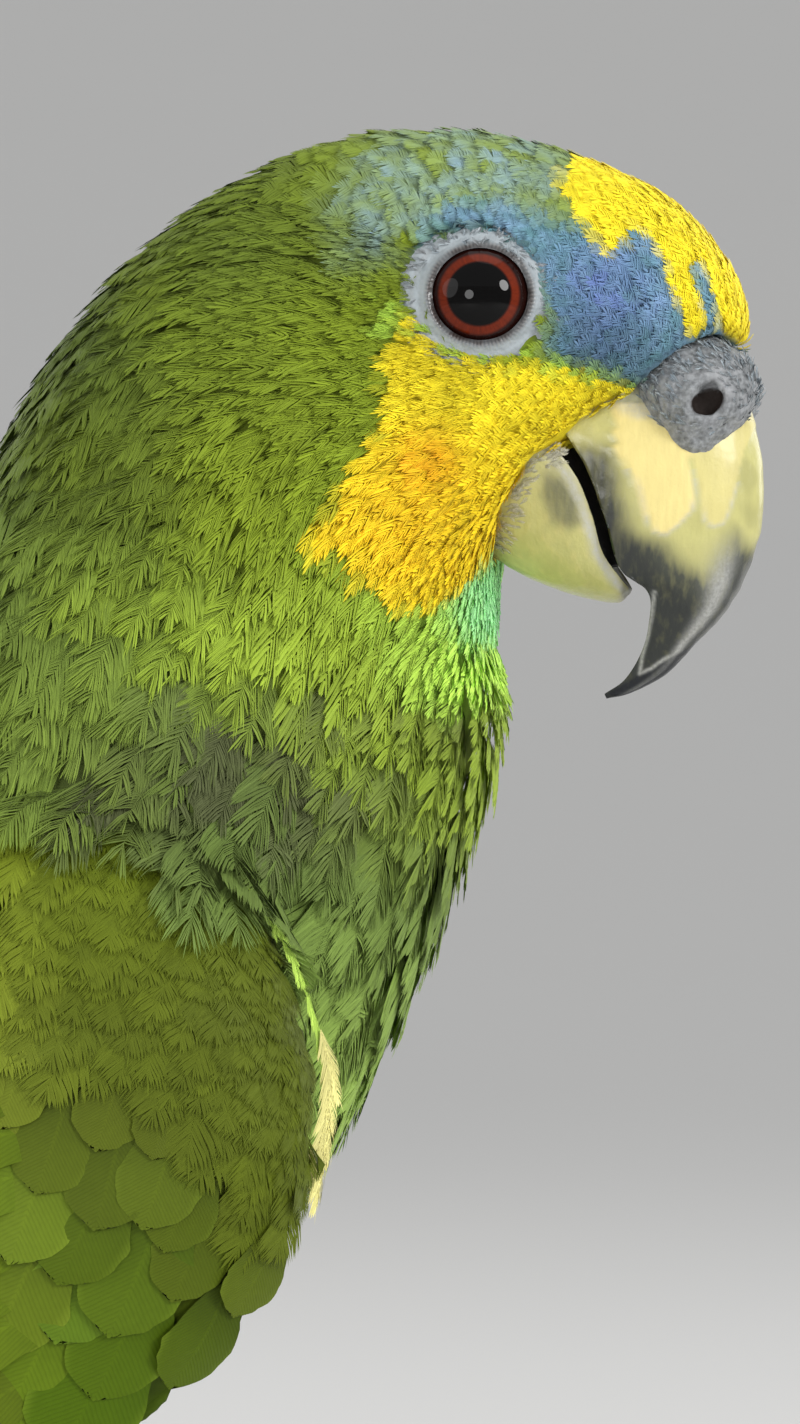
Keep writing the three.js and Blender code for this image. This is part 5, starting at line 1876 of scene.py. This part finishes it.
# Stations of the bill, tip first: upper edge, lower edge, half width and bulge.
UPPER_BILL_STATIONS = [
    (22.0, 0, 1.4, 21.8, 0, 1.9, 0.35, 0),
    (24.8, 0, 2.1, 24.0, 0, 3.4, 1.1, 0),
    (28.2, 0, 3.9, 25.8, 0, 6.2, 2.1, 0),
    (31.4, 0, 7.2, 26.7, 0, 9.2, 3.4, 0),
    (34.8, 0, 10.9, 26.7, 0, 12.4, 4.8, 0),
    (37.1, 0, 15.4, 23.9, 0, 14.8, 6.2, 0),
    (38.4, 0, 20.6, 22.5, 0, 19.6, 7.2, 0),
    (38.3, 0, 26.4, 20.5, 0, 25.2, 7.7, 0),
    (37.1, 0, 31.4, 17.9, 0, 29.8, 7.5, 0),
    (35.0, 0, 35.5, 17.4, 0, 34.0, 6.6, 0),
]
LOWER_BILL_STATIONS = [
    (24.5, 0, 13.0, 24.3, 0, 12.3, 2.2, 0),
    (23.8, 0, 14.0, 23.2, 0, 11.5, 4.4, 0),
    (22.1, 0, 16.6, 20.6, 0, 11.8, 5.6, 0),
    (21.1, 0, 20.4, 17.0, 0, 12.8, 6.6, 0),
    (19.4, 0, 24.6, 12.8, 0, 14.6, 7.2, 0),
    (16.3, 0, 28.0, 8.6, 0, 17.2, 7.7, 0),
    (11.6, 0, 28.4, 4.6, 0, 19.6, 7.6, 0),
]


# Marks on the side of the bill, as (x, z) corners before the head is turned; the greyed and dark bands by the
# mouth are partly painted shade.
FLAKES = (
    [
        (23.2, 32.0), (31.1, 32.0), (31.1, 25.6), (31.5, 22.4), (31.3, 20.8), (30.1, 19.4), (28.6, 18.2),
        (27.5, 18.6), (26.6, 20.6), (25.8, 23.2), (24.6, 25.2), (23.6, 27.2),
    ],
    [
        (31.5, 32.0), (38.5, 32.0), (36.6, 27.2), (36.0, 23.6), (35.2, 20.8), (34.4, 19.4), (33.3, 19.1),
        (32.5, 19.9), (31.9, 22.6), (31.4, 26.0),
    ],
)
GREYED_AND_SHADED = [
    (19.0, 28.0), (23.2, 27.4), (24.2, 23.6), (25.0, 20.6), (26.2, 18.4), (28.4, 17.0), (30.0, 14.4),
    (32.0, 13.0), (33.6, 14.4), (34.7, 17.6), (35.8, 18.8), (36.8, 16.6), (39.0, 13.0), (31.0, 2.0),
    (18.0, -2.0), (18.0, 15.0),
]
DARK_AND_SHADED = [
    (20.8, 27.0), (22.9, 26.2), (23.8, 21.8), (24.7, 19.2), (26.2, 17.0), (28.2, 13.8), (30.2, 11.8),
    (32.6, 11.4), (34.2, 13.2), (35.6, 15.0), (37.2, 15.8), (39.5, 14.0), (31.0, 2.0), (18.0, -2.0),
    (18.0, 15.0),
]
HOOK_EDGE = [
    (27.4, 12.4), (27.0, 9.9), (26.6, 8.0), (25.9, 5.8), (25.6, 4.0), (26.8, 4.5), (28.1, 5.4), (30.0, 6.5),
]
LOWER_LIP = [(24.5, 12.9), (22.1, 16.6), (21.1, 20.4), (19.4, 24.6), (16.3, 28.0), (11.6, 28.4)]
# a grey patch on the lower bill near the mouth
LOWER_GREY = [
    (16.6, 25.0), (18.4, 24.4), (19.4, 21.8), (20.2, 19.6), (18.8, 19.2), (17.0, 20.0), (15.8, 22.5),
]
GAPE = [(16.8, 26.6), (14.6, 25.6), (12.6, 21.4), (10.4, 17.6)]


def closed_tube(grid):
    """Faces of a ring-by-ring tube of points, and the points with a middle added at each end."""
    rows, columns = grid.shape[:2]
    points = np.vstack([grid.reshape(-1, 3), grid[0].mean(axis=0), grid[-1].mean(axis=0)])
    ring = np.arange(columns)
    after = (ring + 1) % columns
    first = stacked(after, ring, rows * columns)
    base = (rows - 1) * columns
    last = stacked(base + ring, base + after, rows * columns + 1)
    return points, [grid_faces(rows, columns, wrap=True), np.vstack([first, last])]


def grid_normals(grid):
    """The way out of a tube's surface, ring by ring."""
    along = np.gradient(grid, axis=0)
    around = np.roll(grid, -1, axis=1) - np.roll(grid, 1, axis=1)
    out = unit(np.cross(around, along))
    middle_line = grid.mean(axis=1, keepdims=True)
    facing = np.sign(np.sum(out * (grid - middle_line)))
    return out * facing


class PARROT_OT_bill(Maker):
    """Shapes the hooked upper bill and the lower bill, with their peeling horn"""

    bl_idname = "parrot.bill"
    bl_label = "Bill"

    def make(self, scene):
        finish = horn_finish(scene.parrot_bare)
        for name, stations, rows, columns, carved in (
            ("upper", UPPER_BILL_STATIONS, 230, 150, self.upper),
            ("lower", LOWER_BILL_STATIONS, 120, 130, self.lower),
        ):
            share = (np.linspace(0, 1, rows) ** 1.1)[:, None]
            share, angle = np.broadcast_arrays(share, full_turn(columns)[None])
            ridge, across = np.cos(angle), np.sin(angle)
            # each bill is round on its outer side and hollowed on the side of the mouth
            if name == "upper":
                along = np.where(ridge > 0, 2 * ridge - 1, -1 - 0.35 * ridge)
            else:
                along = np.where(ridge < 0, 2 * ridge + 1, 1 - 0.3 * ridge)
            grid = loft(stations, share.ravel(), along.ravel(), across.ravel()).reshape(rows, columns, 3)
            out = grid_normals(grid)
            turn = np.abs(np.where(angle > math.pi, angle - 2 * math.pi, angle)) / math.pi
            relief, marks = carved(grid, share, turn)
            # the tip stays sharp
            relief = relief * ramp(0.0, 0.08, share)
            grid = grid + out * relief[..., None]
            points, faces = closed_tube(head_turned(grid))
            marks = np.clip(marks.reshape(-1, 4), 0, 1)
            marks = np.vstack([marks, marks[:1], marks[-1:]])
            piece = mesh_object(f"horn_{name}", points, faces, finish, fields={"horn_marks": marks})
            worn(piece, "horn", f"bill_{name}")
        self.mouth(scene)

    # Stations of the dark inside of the mouth, between the bills: upper edge, lower edge, width, bulge.
    MOUTH = [
        (23.6, 0, 15.4, 20.6, 0, 15.2, 3.4, 0), (22.8, 0, 20.0, 18.8, 0, 19.4, 5.0, 0),
        (21.0, 0, 25.2, 16.6, 0, 23.4, 5.8, 0), (18.6, 0, 29.2, 13.6, 0, 26.4, 6.0, 0),
        (15.0, 0, 31.6, 10.6, 0, 28.4, 5.4, 0),
    ]

    def mouth(self, scene):
        share, angle = np.meshgrid(np.linspace(0, 1, 24), full_turn(32), indexing="ij")
        grid = loft(self.MOUTH, share.ravel(), np.cos(angle).ravel(), np.sin(angle).ravel())
        points, faces = closed_tube(head_turned(grid.reshape(24, 32, 3)))
        worn(mesh_object("mouth", points, faces, mouth_finish(scene.parrot_bare)), "horn")

    @staticmethod
    def upper(grid, share, turn):
        """Relief and markings of the upper bill, by the share from its tip and round from its ridge."""
        wide = noise(grid, 6, 1)
        fine = noise(grid, 1.2, 2)
        x, z = grid[..., 0], grid[..., 2]
        # two great flakes of old horn hang over the newer horn below, with round lower ends
        rough = 0.22 * wide + 0.10 * fine
        outer = turn < 0.72
        flakes = [inside(x + rough, z + 0.5 * rough, corners, 0.16) * outer for corners in FLAKES]
        plate = np.maximum(flakes[0], 0.5 * flakes[1])
        edges = [bell(from_line(x + rough, z + 0.5 * rough, c[2:] + c[:1]), 0.22) for c in FLAKES]
        # greyed and dark horn, with painted shade along the mouth side; the dark band also makes the hook
        # slate
        greyed_and_shaded = inside(x + 0.9 * wide, z + 0.9 * wide, GREYED_AND_SHADED, 1.9)
        dark = inside(x + 0.7 * wide, z + 0.7 * wide, DARK_AND_SHADED, 1.7)
        lines = 0.05 * np.sin(x * 5.5 + 2.5 * wide) * ramp(0.3, 0.6, share)
        relief = 0.20 * plate + 0.06 * wide + 0.035 * fine + lines * (1 - plate)
        # a bevel runs down the hook, off the ridge; its pale line is partly the horn's own pale edge and
        # partly a painted highlight
        wide_bevel = np.interp(share, [0.1, 0.5], [0.03, 0.055])
        bevel = bell(turn - 0.2, wide_bevel) * ramp(0.66, 0.5, share) * ramp(0.04, 0.13, share)
        relief = relief + 0.12 * bevel - 0.10 * bell(turn - 0.31, 0.07) * dark
        line = bell(from_line(x, z, HOOK_EDGE), 0.2) * ramp(0.02, 0.24, turn)
        smoke_and_shade = greyed_and_shaded * 0.85 + 0.25 * ramp(18.5, 14.0, z) + 0.2 * ramp(0.3, 0.7, wide)
        smoke_and_shade = np.clip(smoke_and_shade, 0, 1) * (1 - plate)
        tip = ramp(0.35, -0.25, z - 3.9 - 0.55 * (x - 25.6))
        slate = dark * (0.68 + 0.32 * tip)
        rim = np.maximum(0.55 * (edges[0] * (z < 25) + edges[1] * (z < 24)) * outer, 0.8 * bevel)
        rim = np.maximum(rim * (1 - 0.7 * tip), 0.75 * line)
        crust = ramp(28.3, 29.6, z + 0.35 * fine - 0.9 * np.abs(x - 31) / 3) * ramp(0.5, 0.35, turn)
        # a paler band along the ridge is a painted highlight
        painted_ridge_highlight = 0.35 * ramp(0.12, 0.02, turn) * ramp(0.62, 0.5, share) * ramp(0.3, 0.42, share)
        rim = np.maximum(np.maximum(rim, 0.7 * crust), painted_ridge_highlight)
        return relief, stacked(plate, smoke_and_shade, slate, rim)

    @staticmethod
    def lower(grid, share, turn):
        """Relief and markings of the lower bill. Its cutting edge is above."""
        wide = noise(grid, 5, 3)
        fine = noise(grid, 0.9, 4)
        x, z = grid[..., 0], grid[..., 2]
        lip = from_line(x + 0.15 * fine, z + 0.15 * fine, LOWER_LIP)
        flaky = ramp(22.0, 25.5, z + 0.9 * wide) * ramp(0.62, 0.3, turn)
        flakes = 0.22 * np.abs(fine) + 0.14 * np.abs(noise(grid, 2.2, 5))
        relief = 0.05 * wide + 0.03 * fine + flaky * flakes
        smoke_and_shade = 0.75 * inside(x + 0.6 * wide, z + 0.6 * wide, LOWER_GREY, 1.0)
        smoke_and_shade = smoke_and_shade + 0.18 * ramp(0.1, 0.9, wide)
        # the lower bill's cutting edge is painted near black with the slate, a painted shade in the gap
        # between the bills
        mouth = ramp(0.26, 0.17, turn) * ramp(0.02, 0.07, share)
        rim = np.maximum(flaky * (0.35 + 0.5 * ramp(-0.2, 0.5, fine)), 0.95 * bell(lip - 0.6, 0.55))
        return relief, stacked(0.25 * ramp(0, 1, fine), smoke_and_shade, mouth, rim * (1 - mouth))


class PARROT_OT_cere(Maker):
    """Roughens the cere and opens its nostrils"""

    bl_idname = "parrot.cere"
    bl_label = "Cere"

    def make(self, scene):
        points, faces = node_surface("cere")
        cere = remeshed("cere_skin", points, faces, voxel_mm=0.3, smoothings=12)
        mesh = cere.data
        points = mesh_points(mesh)
        normals = point_normals(mesh)
        head = head_turned(points, -1)
        low = np.clip(37.0 - head[:, 2], 0, None)
        head[:, 2] -= low * (0.06 + 0.30 * bell(head[:, 0] - 31.2, 3.4))
        points = head_turned(head)
        ahead, above = head[:, 0] - NOSTRIL[0], head[:, 2] - NOSTRIL[1]
        tilted = ahead * 0.9 + above * 0.42
        crossed = above * 0.9 - ahead * 0.42
        nostril = np.hypot(tilted / 1.05, crossed / 0.8)
        outside = ramp(3.0, 5.5, np.abs(head[:, 1]))
        rim = bell(nostril - 2.35, 0.55) * outside
        relief = 0.20 * rim + 0.13 * noise(points, 1.0, 6, 3) + 0.2 * noise(points, 3.2, 7)
        # pit marks the nostril, which the finish paints near black as shade
        pit = ramp(1.85, 1.45, nostril) * outside
        points = points + normals * (relief + 0.25 - 0.4 * pit)[:, None]
        set_points(mesh, points)
        add_fields(mesh, {"pit": pit})
        mesh.materials.append(cere_finish(scene.parrot_bare))
        worn(cere, "bare_skin", "cere")


class PARROT_OT_bristles(Maker):
    """Sets short pale bristles on the cere and round the bare skin of the eyes"""

    bl_idname = "parrot.bristles"
    bl_label = "Bristles"

    def make(self, scene):
        chance = np.random.default_rng(scene.parrot_coat.seed + 5)
        finish = bristle_finish(scene.parrot_bare)
        forms = [Form(5, 0.3, 0.8, 0.3, 0, 0.8, 2, 0.0, 1.0, 60 + seed) for seed in range(4)]
        for name, source, count in (
            ("bristles_cere", "cere_skin", 1300), ("bristles_left", "lids_left", 170),
            ("bristles_right", "lids_right", 170), ("bristles_gape", "horn_lower", 520),
        ):
            mesh = bpy.data.objects[source].data
            points, normals = mesh_points(mesh), point_normals(mesh)
            head = head_turned(points, -1)
            away = from_eye(head)
            if source == "cere_skin":
                away = head - (37.0, 0.0, 29.0)
                apart = np.hypot(head[:, 0] - NOSTRIL[0], head[:, 2] - NOSTRIL[1])
                share = ramp(2.2, 3.2, apart) * ramp(27.5, 33.5, head[:, 2] + 0.25 * (33 - head[:, 0]))
            elif source == "horn_lower":
                away = head - (8.0, 0.0, 22.0)
                gape = from_line(head[:, 0], head[:, 2], GAPE)
                share = ramp(1.5, 0.3, gape) * (np.abs(head[:, 1]) > 3)
            else:
                off = np.hypot(away[:, 0], away[:, 2])
                reach = bare_ring(np.arctan2(away[:, 2], away[:, 0]))
                share = ramp(-1.1, 0.0, off - reach) * ramp(1.2, 0.4, off - reach)
                outward = normals * np.sign(head[:, 1:2]) * np.sign(normals[:, 1:2])
                normals = np.where(outward[:, 1:2] * head[:, 1:2] < 0, -outward, outward)
            at = chance.choice(len(points), count, p=share / share.sum())
            roots, up = points[at], normals[at]
            way = unit(head_turned(head[at] + 0.1 * unit(away[at])) - head_turned(head[at]))
            way = square_to(way, up)
            way = turned_about(way, up, 0.45 * chance.normal(0, 1, count))
            lengths = chance.uniform(0.7, 1.4, count)
            shares = np.linspace(0, 1, STATIONS)[None, :, None]
            lines = roots[:, None] + way[:, None] * (lengths[:, None, None] * shares)
            lines = lines + up[:, None] * (lengths[:, None, None] * 0.30 * shares**0.7 - 0.05)
            dressed(
                name, forms, lines, np.repeat(up[:, None], STATIONS, axis=1), lengths * 0.2, chance, finish,
                roll=0.3, cup=0.3, soft=0.7, slot="bare_skin",
                painted={"cream": float(source == "horn_lower")},
            )


def rod_along(line, radii, sides, rows):
    """A round rod of points along a curve that lies nearly in an upright plane."""
    shares = np.linspace(0, 1, rows)
    centre = curve_through(line, shares)
    radius = curve_through(np.asarray(radii, float)[:, None], shares)[:, 0]
    tangent = unit(np.gradient(centre, axis=0))
    side = np.tile((0.0, 1.0, 0.0), (rows, 1))
    up = unit(np.cross(tangent, side))
    side = unit(np.cross(up, tangent))
    turn = full_turn(sides)
    ring = up[:, None] * np.cos(turn)[None, :, None] + side[:, None] * np.sin(turn)[None, :, None]
    return centre[:, None] + ring * np.maximum(radius, 0.02)[:, None, None]


# Each toe is an arc round the perch: where it starts and ends in degrees from straight ahead, how
# far it leans out, and how far its claw goes on.
TOES = {
    "inner_front": (92, 4, -7.5, 50),
    "outer_front": (92, -18, 3.5, 52),
    "inner_back": (92, 160, -5.5, 44),
    "outer_back": (92, 194, 5.5, 50),
}
FOOT_SIDE = 18.0  # how far each foot stands from the bird's middle
TOE_RADIUS = 2.5
HEEL = np.array([-55.0, -86.5])  # x and z
SOLE = np.array([-41.4, -98.2])


def round_perch(degrees, reach):
    """x and z of places round the perch, by the angle from straight ahead."""
    angle = np.radians(degrees)
    return PERCH[0] + reach * np.cos(angle), PERCH[2] + reach * np.sin(angle)


def as_triangles(parts):
    """Points and triangles of several closed tubes together."""
    points, faces, count = [], [], 0
    for grid in parts:
        tube, (quads, caps) = closed_tube(grid)
        points.append(tube)
        faces += [quads[:, [0, 1, 2]] + count, quads[:, [0, 2, 3]] + count, caps + count]
        count += len(tube)
    return np.vstack(points), np.vstack(faces)


class PARROT_OT_feet(Maker):
    """Wraps the scaled feet round the perch, two toes ahead and two behind, with their claws"""

    bl_idname = "parrot.feet"
    bl_label = "Feet and claws"

    def make(self, scene):
        skin_finish, horn = foot_finish(scene.parrot_bare), claw_finish(scene.parrot_bare)
        for side, sign in SIDES:
            shank = np.array([
                HEEL + (-3.5, 4.5), HEEL + (-0.5, 0.5), HEEL + (4, -4.4), SOLE + (-4, 3.2), SOLE,
            ])
            shank = stacked(shank[:, 0], sign * FOOT_SIDE, shank[:, 1])
            parts = [rod_along(shank, [4.0, 4.3, 3.5, 3.5, 3.4], 24, 40)]
            pad = np.linspace(-1, 1, 18)
            swell = np.sqrt(np.clip(1 - pad**2, 0, 1)) * 3.3
            line = stacked(SOLE[0] + pad * 4.1, sign * FOOT_SIDE, SOLE[1] + 0.3)
            parts.append(rod_along(line, swell, 20, 18))
            for start, end, out, _ in TOES.values():
                share = np.linspace(0, 1, 40)
                x, z = round_perch(start + (end - start) * share, PERCH_RADIUS + TOE_RADIUS + 0.35)
                y = sign * (FOOT_SIDE + out * np.sin(share * math.pi / 2))
                pads = 0.07 * np.cos(share * 6 * math.pi)
                parts.append(rod_along(stacked(x, y, z), TOE_RADIUS * (1 - 0.18 * share - pads), 20, 60))
            foot = remeshed(f"scaled_foot_{side}", *as_triangles(parts), voxel_mm=0.42, smoothings=3)
            self.scales(foot.data)
            foot.data.materials.append(skin_finish)
            worn(foot, "scaled_skin", f"foot_{side}")
            for name in TOES:
                self.claw(name, side, sign, horn)

    @staticmethod
    def scales(mesh):
        """Raises the plates of the toes and shank, and beads on the rest of the skin."""
        points, normals = mesh_points(mesh), point_normals(mesh)
        radial = (points - PERCH) * (1, 0, 1)
        on_toe = ramp(17.5, 15.8, np.linalg.norm(radial, axis=1))
        outward = ramp(-0.1, 0.35, np.sum(normals * unit(radial), axis=1))
        turn = np.arctan2(radial[:, 2], radial[:, 0])
        scute = np.abs(np.sin(turn * 13.8 / 1.55 * math.pi / 2 + 0.35 * noise(points, 3, 8)))
        shank_at = (points[:, 2] - SOLE[1]) * 0.75 - (points[:, 0] - SOLE[0]) * 0.55
        scale = np.abs(np.sin(shank_at * 1.35 + noise(points, 2.5, 9) * 0.6))
        plates = scute**0.35 * on_toe * outward + scale**0.4 * (1 - on_toe)
        grooves = (1 - scute**0.35) * on_toe * outward + (1 - scale**0.4) * (1 - on_toe) * 0.8
        beads = noise(points, 0.9, 10, 1) * (1 - outward * on_toe)
        set_points(mesh, points + normals * (0.20 * plates - 0.1 + 0.07 * beads)[:, None])
        add_fields(mesh, {"groove": np.clip(grooves * 1.3, 0, 1)})

    @staticmethod
    def claw(name, side, sign, finish, sides=22, rows=40):
        """One claw, hooked on round the perch from the end of its toe."""
        start, end, out, hooked = TOES[name]
        share = np.linspace(0, 1, 14)
        lift = 2.9 - 0.6 * share**2 + 1.6 * np.sin(math.pi * share)
        lift[0] = 2.6
        degrees = end + np.sign(end - start) * (-7 + (hooked + 8) * share)
        x, z = round_perch(degrees, PERCH_RADIUS + lift)
        line = stacked(x, sign * (FOOT_SIDE + out), z)
        points, faces = closed_tube(rod_along(line, 1.95 * (1 - share) ** 0.75 + 0.06, sides, rows))
        root = np.repeat(ramp(0.35, 0.1, np.linspace(0, 1, rows)), sides)
        fields = {"groove": np.concatenate([root, [1.0, 0.0]])}
        made = mesh_object(f"claw_horn_{name}_{side}", points, faces, finish, fields)
        worn(made, "claw", f"claw_{name}_{side}")


KNOTS = ((-0.32, 0.6, 1.5), (0.24, 3.4, 1.3), (0.41, 5.2, 1.7))


class PARROT_OT_perch(Maker):
    """Cuts the perch from a weathered branch"""

    bl_idname = "parrot.perch"
    bl_label = "Perch"

    def make(self, scene):
        rows, columns, ends = 230, 170, 9
        share = np.linspace(-0.5, 0.5, rows)[:, None]
        share, angle = np.broadcast_arrays(share, full_turn(columns)[None])
        swell = 0 * share
        for at, turn, size in KNOTS:
            apart = np.hypot((share - at) * 9, np.sin((angle - turn) / 2) * 2.2)
            swell = swell + size * bell(apart, 1) - 0.9 * bell(apart, 0.16)
            swell = swell + 0.18 * np.cos(apart * 24) * bell(apart, 0.5)
        wave = 0.35 * np.sin(7 * share * math.pi + angle) + 0.3 * np.sin(3 * angle + 5 * share)
        radius = PERCH_RADIUS - 0.6 + wave + swell
        flat = stacked(np.sin(angle) * 11, share * PERCH_LENGTH * 0.22, np.cos(angle) * 11)
        strips = noise(flat, 2.6, 11, 3)
        crack = ramp(0.30, 0.02, np.abs(strips)) * ramp(-0.5, 0.4, noise(flat, 7, 12))
        radius = radius - 0.34 * crack + 0.12 * strips - 0.1
        radius = radius - 0.5 * np.exp(-((0.5 - np.abs(share)) * PERCH_LENGTH / 0.7))
        bend = -3.2 * (2 * share) ** 2

        def ring_at(share, angle, radius, bend):
            ahead = PERCH[0] + radius * np.sin(angle) + bend * 0.6
            above = PERCH[2] + radius * np.cos(angle) + bend * 0.5
            return stacked(ahead, share * PERCH_LENGTH, above)

        grid = ring_at(share, angle, radius, bend)
        caps = []
        for row in (0, -1):
            rings = np.linspace(0.04, 0.97, ends)[:, None]
            cap = ring_at(share[row][None], angle[row][None], radius[row][None] * rings, bend[row][None])
            caps.append(cap if row == 0 else cap[::-1])
        grid = np.concatenate([caps[0], grid, caps[1]])
        cut = np.zeros(grid.shape[:2])
        cut[:ends], cut[-ends:] = 1, 1
        cracks = np.zeros(grid.shape[:2])
        cracks[ends:-ends] = crack
        out = np.hypot(grid[..., 0] - PERCH[0], grid[..., 2] - PERCH[2]) / PERCH_RADIUS
        points, faces = closed_tube(grid)
        bark = stacked(cracks, cut, out).reshape(-1, 3)
        bark = np.vstack([bark, [[0, 1, 0], [0, 1, 0]]])
        perch = mesh_object("branch", points, faces, bark_finish(scene.parrot_stand), fields={"bark": bark})
        worn(perch, "bark", "perch")


def lathed(name, profile, centre, sides, finish):
    """A turned piece from radii and heights in metres over its centre."""
    profile = np.asarray(profile, float) / MM
    turn = full_turn(sides)
    radius, height = profile[:, 0:1], profile[:, 1:2]
    grid = stacked(radius * np.cos(turn), radius * np.sin(turn), height)
    points, faces = closed_tube(grid + (np.asarray(centre) - THROAT) / MM)
    return mesh_object(name, points, faces, finish)


def rounded(corners, radius, steps=7):
    """A profile whose inner corners are rounded."""
    corners = [np.array(c, float) for c in corners]
    line = [corners[0]]
    for before, corner, after in zip(corners, corners[1:], corners[2:]):
        room = min(radius, np.linalg.norm(before - corner) * 0.49, np.linalg.norm(after - corner) * 0.49)
        start = corner + (before - corner) / np.linalg.norm(before - corner) * room
        end = corner + (after - corner) / np.linalg.norm(after - corner) * room
        for t in np.linspace(0, 1, steps):
            line.append((1 - t) ** 2 * start + 2 * t * (1 - t) * corner + t**2 * end)
    return [*line, corners[-1]]


class PARROT_OT_stand(Maker):
    """Turns the wooden base and the brass rod of the display stand"""

    bl_idname = "parrot.stand"
    bl_label = "Stand"

    def make(self, scene):
        centre, radius, height = self.room("stand_base")
        base = rounded([
            (0.001, 0), (radius - 0.0012, 0), (radius, 0.0012), (radius, height * 0.55),
            (radius - 0.0022, height * 0.62), (radius - 0.0022, height * 0.72), (radius - 0.0045, height),
            (0.001, height),
        ], 0.0011)
        rings = [(r, height) for r in np.linspace(base[-2][0], 0.001, 14)[1:-1]]
        base = [*base[:-1], *rings, base[-1]]
        wood = lathed("base_wood", base, centre, 160, base_finish(scene.parrot_stand))
        worn(wood, "stand_wood", "stand_base")
        centre, foot, tall = self.room("stand_rod")
        top = tall - 0.0012
        rod = rounded([
            (0.0004, 0), (foot, 0), (foot, 0.0018), (foot * 0.74, 0.0034), (0.0062, 0.0048),
            (0.005, 0.0085), (0.005, tall * 0.6), (0.005, top), (0.0004, top),
        ], 0.0016)
        brass = lathed("rod_brass", rod, centre, 64, brass_finish(scene.parrot_stand))
        worn(brass, "stand_metal", "stand_rod")

    @staticmethod
    def room(node):
        """The middle of a round node's foot, its radius and its height, in metres."""
        low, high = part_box(node)
        centre = ((low[0] + high[0]) / 2, (low[1] + high[1]) / 2, low[2])
        return centre, (high[0] - low[0]) / 2, high[2] - low[2]


CAMERA_LENS = 107.3  # focal length in millimetres
CAMERA_AWAY = 0.45  # metres from the bird's middle


class PARROT_OT_studio(Maker):
    """Sets the floor, the soft lights and the camera"""

    bl_idname = "parrot.studio"
    bl_label = "Studio"

    def make(self, scene):
        centre = Vector(THROAT)
        # the floor is flat under the stand and rises slowly far off, so that no edge shows
        turn = full_turn(96)
        reach = np.concatenate([[0.02, 0.8], np.linspace(1.5, 9.0, 26)])[:, None]
        rise = 0.055 * np.clip(reach - 1.5, 0, None) ** 2
        grid = stacked(reach * np.cos(turn), reach * np.sin(turn), rise)
        points = (grid.reshape(-1, 3) - THROAT * (0, 0, 1)) / MM
        rings = grid_faces(28, 96, wrap=True)[:, ::-1]
        mesh_object("floor", points, [rings, np.arange(96)[None]], floor_finish(scene.parrot_stand))
        for name, place, size, power in (
            ("key", (0.90, -0.70, 0.45), 0.4, 8.6),
            ("fill", (-0.30, -1.00, 0.10), 0.3, 2.15),
            ("left", (-0.95, -0.60, 0.35), 0.7, 2.3),
            ("top", (0.20, 0.0, 1.1), 0.9, 1.6),
            ("back_left", (-0.7, 0.85, 0.4), 0.7, 2.4),
            ("back_right", (0.8, 0.7, 0.35), 0.7, 2.4),
        ):
            lamp = bpy.data.lights.new(name, "AREA")
            lamp.shape, lamp.size, lamp.energy = "DISK", size, power
            holder = placed(name, lamp)
            holder.location = centre + Vector(place)
            holder.rotation_mode = "QUATERNION"
            holder.rotation_quaternion = (-Vector(place)).to_track_quat("-Z", "Y")
        world = bpy.data.worlds.new("studio")
        world.use_nodes = True
        sky = world.node_tree.nodes["Background"]
        sky.inputs["Color"].default_value = (0.86, 0.87, 0.88, 1)
        sky.inputs["Strength"].default_value = 0.71
        scene.world = world
        scene.view_settings.view_transform = "Standard"
        camera = bpy.data.cameras.new("camera")
        camera.sensor_width, camera.lens = 36.0, CAMERA_LENS
        camera.clip_start, camera.clip_end = 0.01, 40
        holder = placed("camera", camera)
        holder.location = centre + Vector((0, -CAMERA_AWAY, 0))
        holder.rotation_euler = (math.radians(90), 0, 0)
        scene.camera = holder


# ---- Add-on -------------------------------------------------------------------------------------

GROUPS = {
    "parrot_coat": PARROT_Coat,
    "parrot_plumage": PARROT_PlumageColours,
    "parrot_eye": PARROT_Eye,
    "parrot_bare": PARROT_BareColours,
    "parrot_stand": PARROT_StandColours,
}
MAKERS = (
    PARROT_OT_studio, PARROT_OT_skin, PARROT_OT_coat, PARROT_OT_coverts, PARROT_OT_quills, PARROT_OT_tail,
    PARROT_OT_eyes, PARROT_OT_bill, PARROT_OT_cere, PARROT_OT_bristles, PARROT_OT_feet, PARROT_OT_perch,
    PARROT_OT_stand,
)


class PARROT_PT_panel(bpy.types.Panel):
    """Lists the parrot's parts, sizes and colours"""

    bl_label = "Parrot"
    bl_idname = "PARROT_PT_panel"
    bl_space_type = "VIEW_3D"
    bl_region_type = "UI"
    bl_category = "Parrot"

    def draw(self, context):
        for maker in MAKERS:
            self.layout.operator(maker.bl_idname)
        for group in GROUPS:
            settings = getattr(context.scene, group)
            box = self.layout.box()
            for key in settings.bl_rna.properties.keys():
                if key not in ("rna_type", "name"):
                    box.prop(settings, key)


CLASSES = (*GROUPS.values(), *MAKERS, PARROT_PT_panel)


def register():
    for each in CLASSES:
        bpy.utils.register_class(each)
    for name, group in GROUPS.items():
        setattr(bpy.types.Scene, name, PointerProperty(type=group))


def unregister():
    for name in GROUPS:
        delattr(bpy.types.Scene, name)
    for each in reversed(CLASSES):
        bpy.utils.unregister_class(each)


def main():
    register()
    for maker in MAKERS:
        group, name = maker.bl_idname.split(".")
        getattr(getattr(bpy.ops, group), name)()


if __name__ == "__main__":
    main()
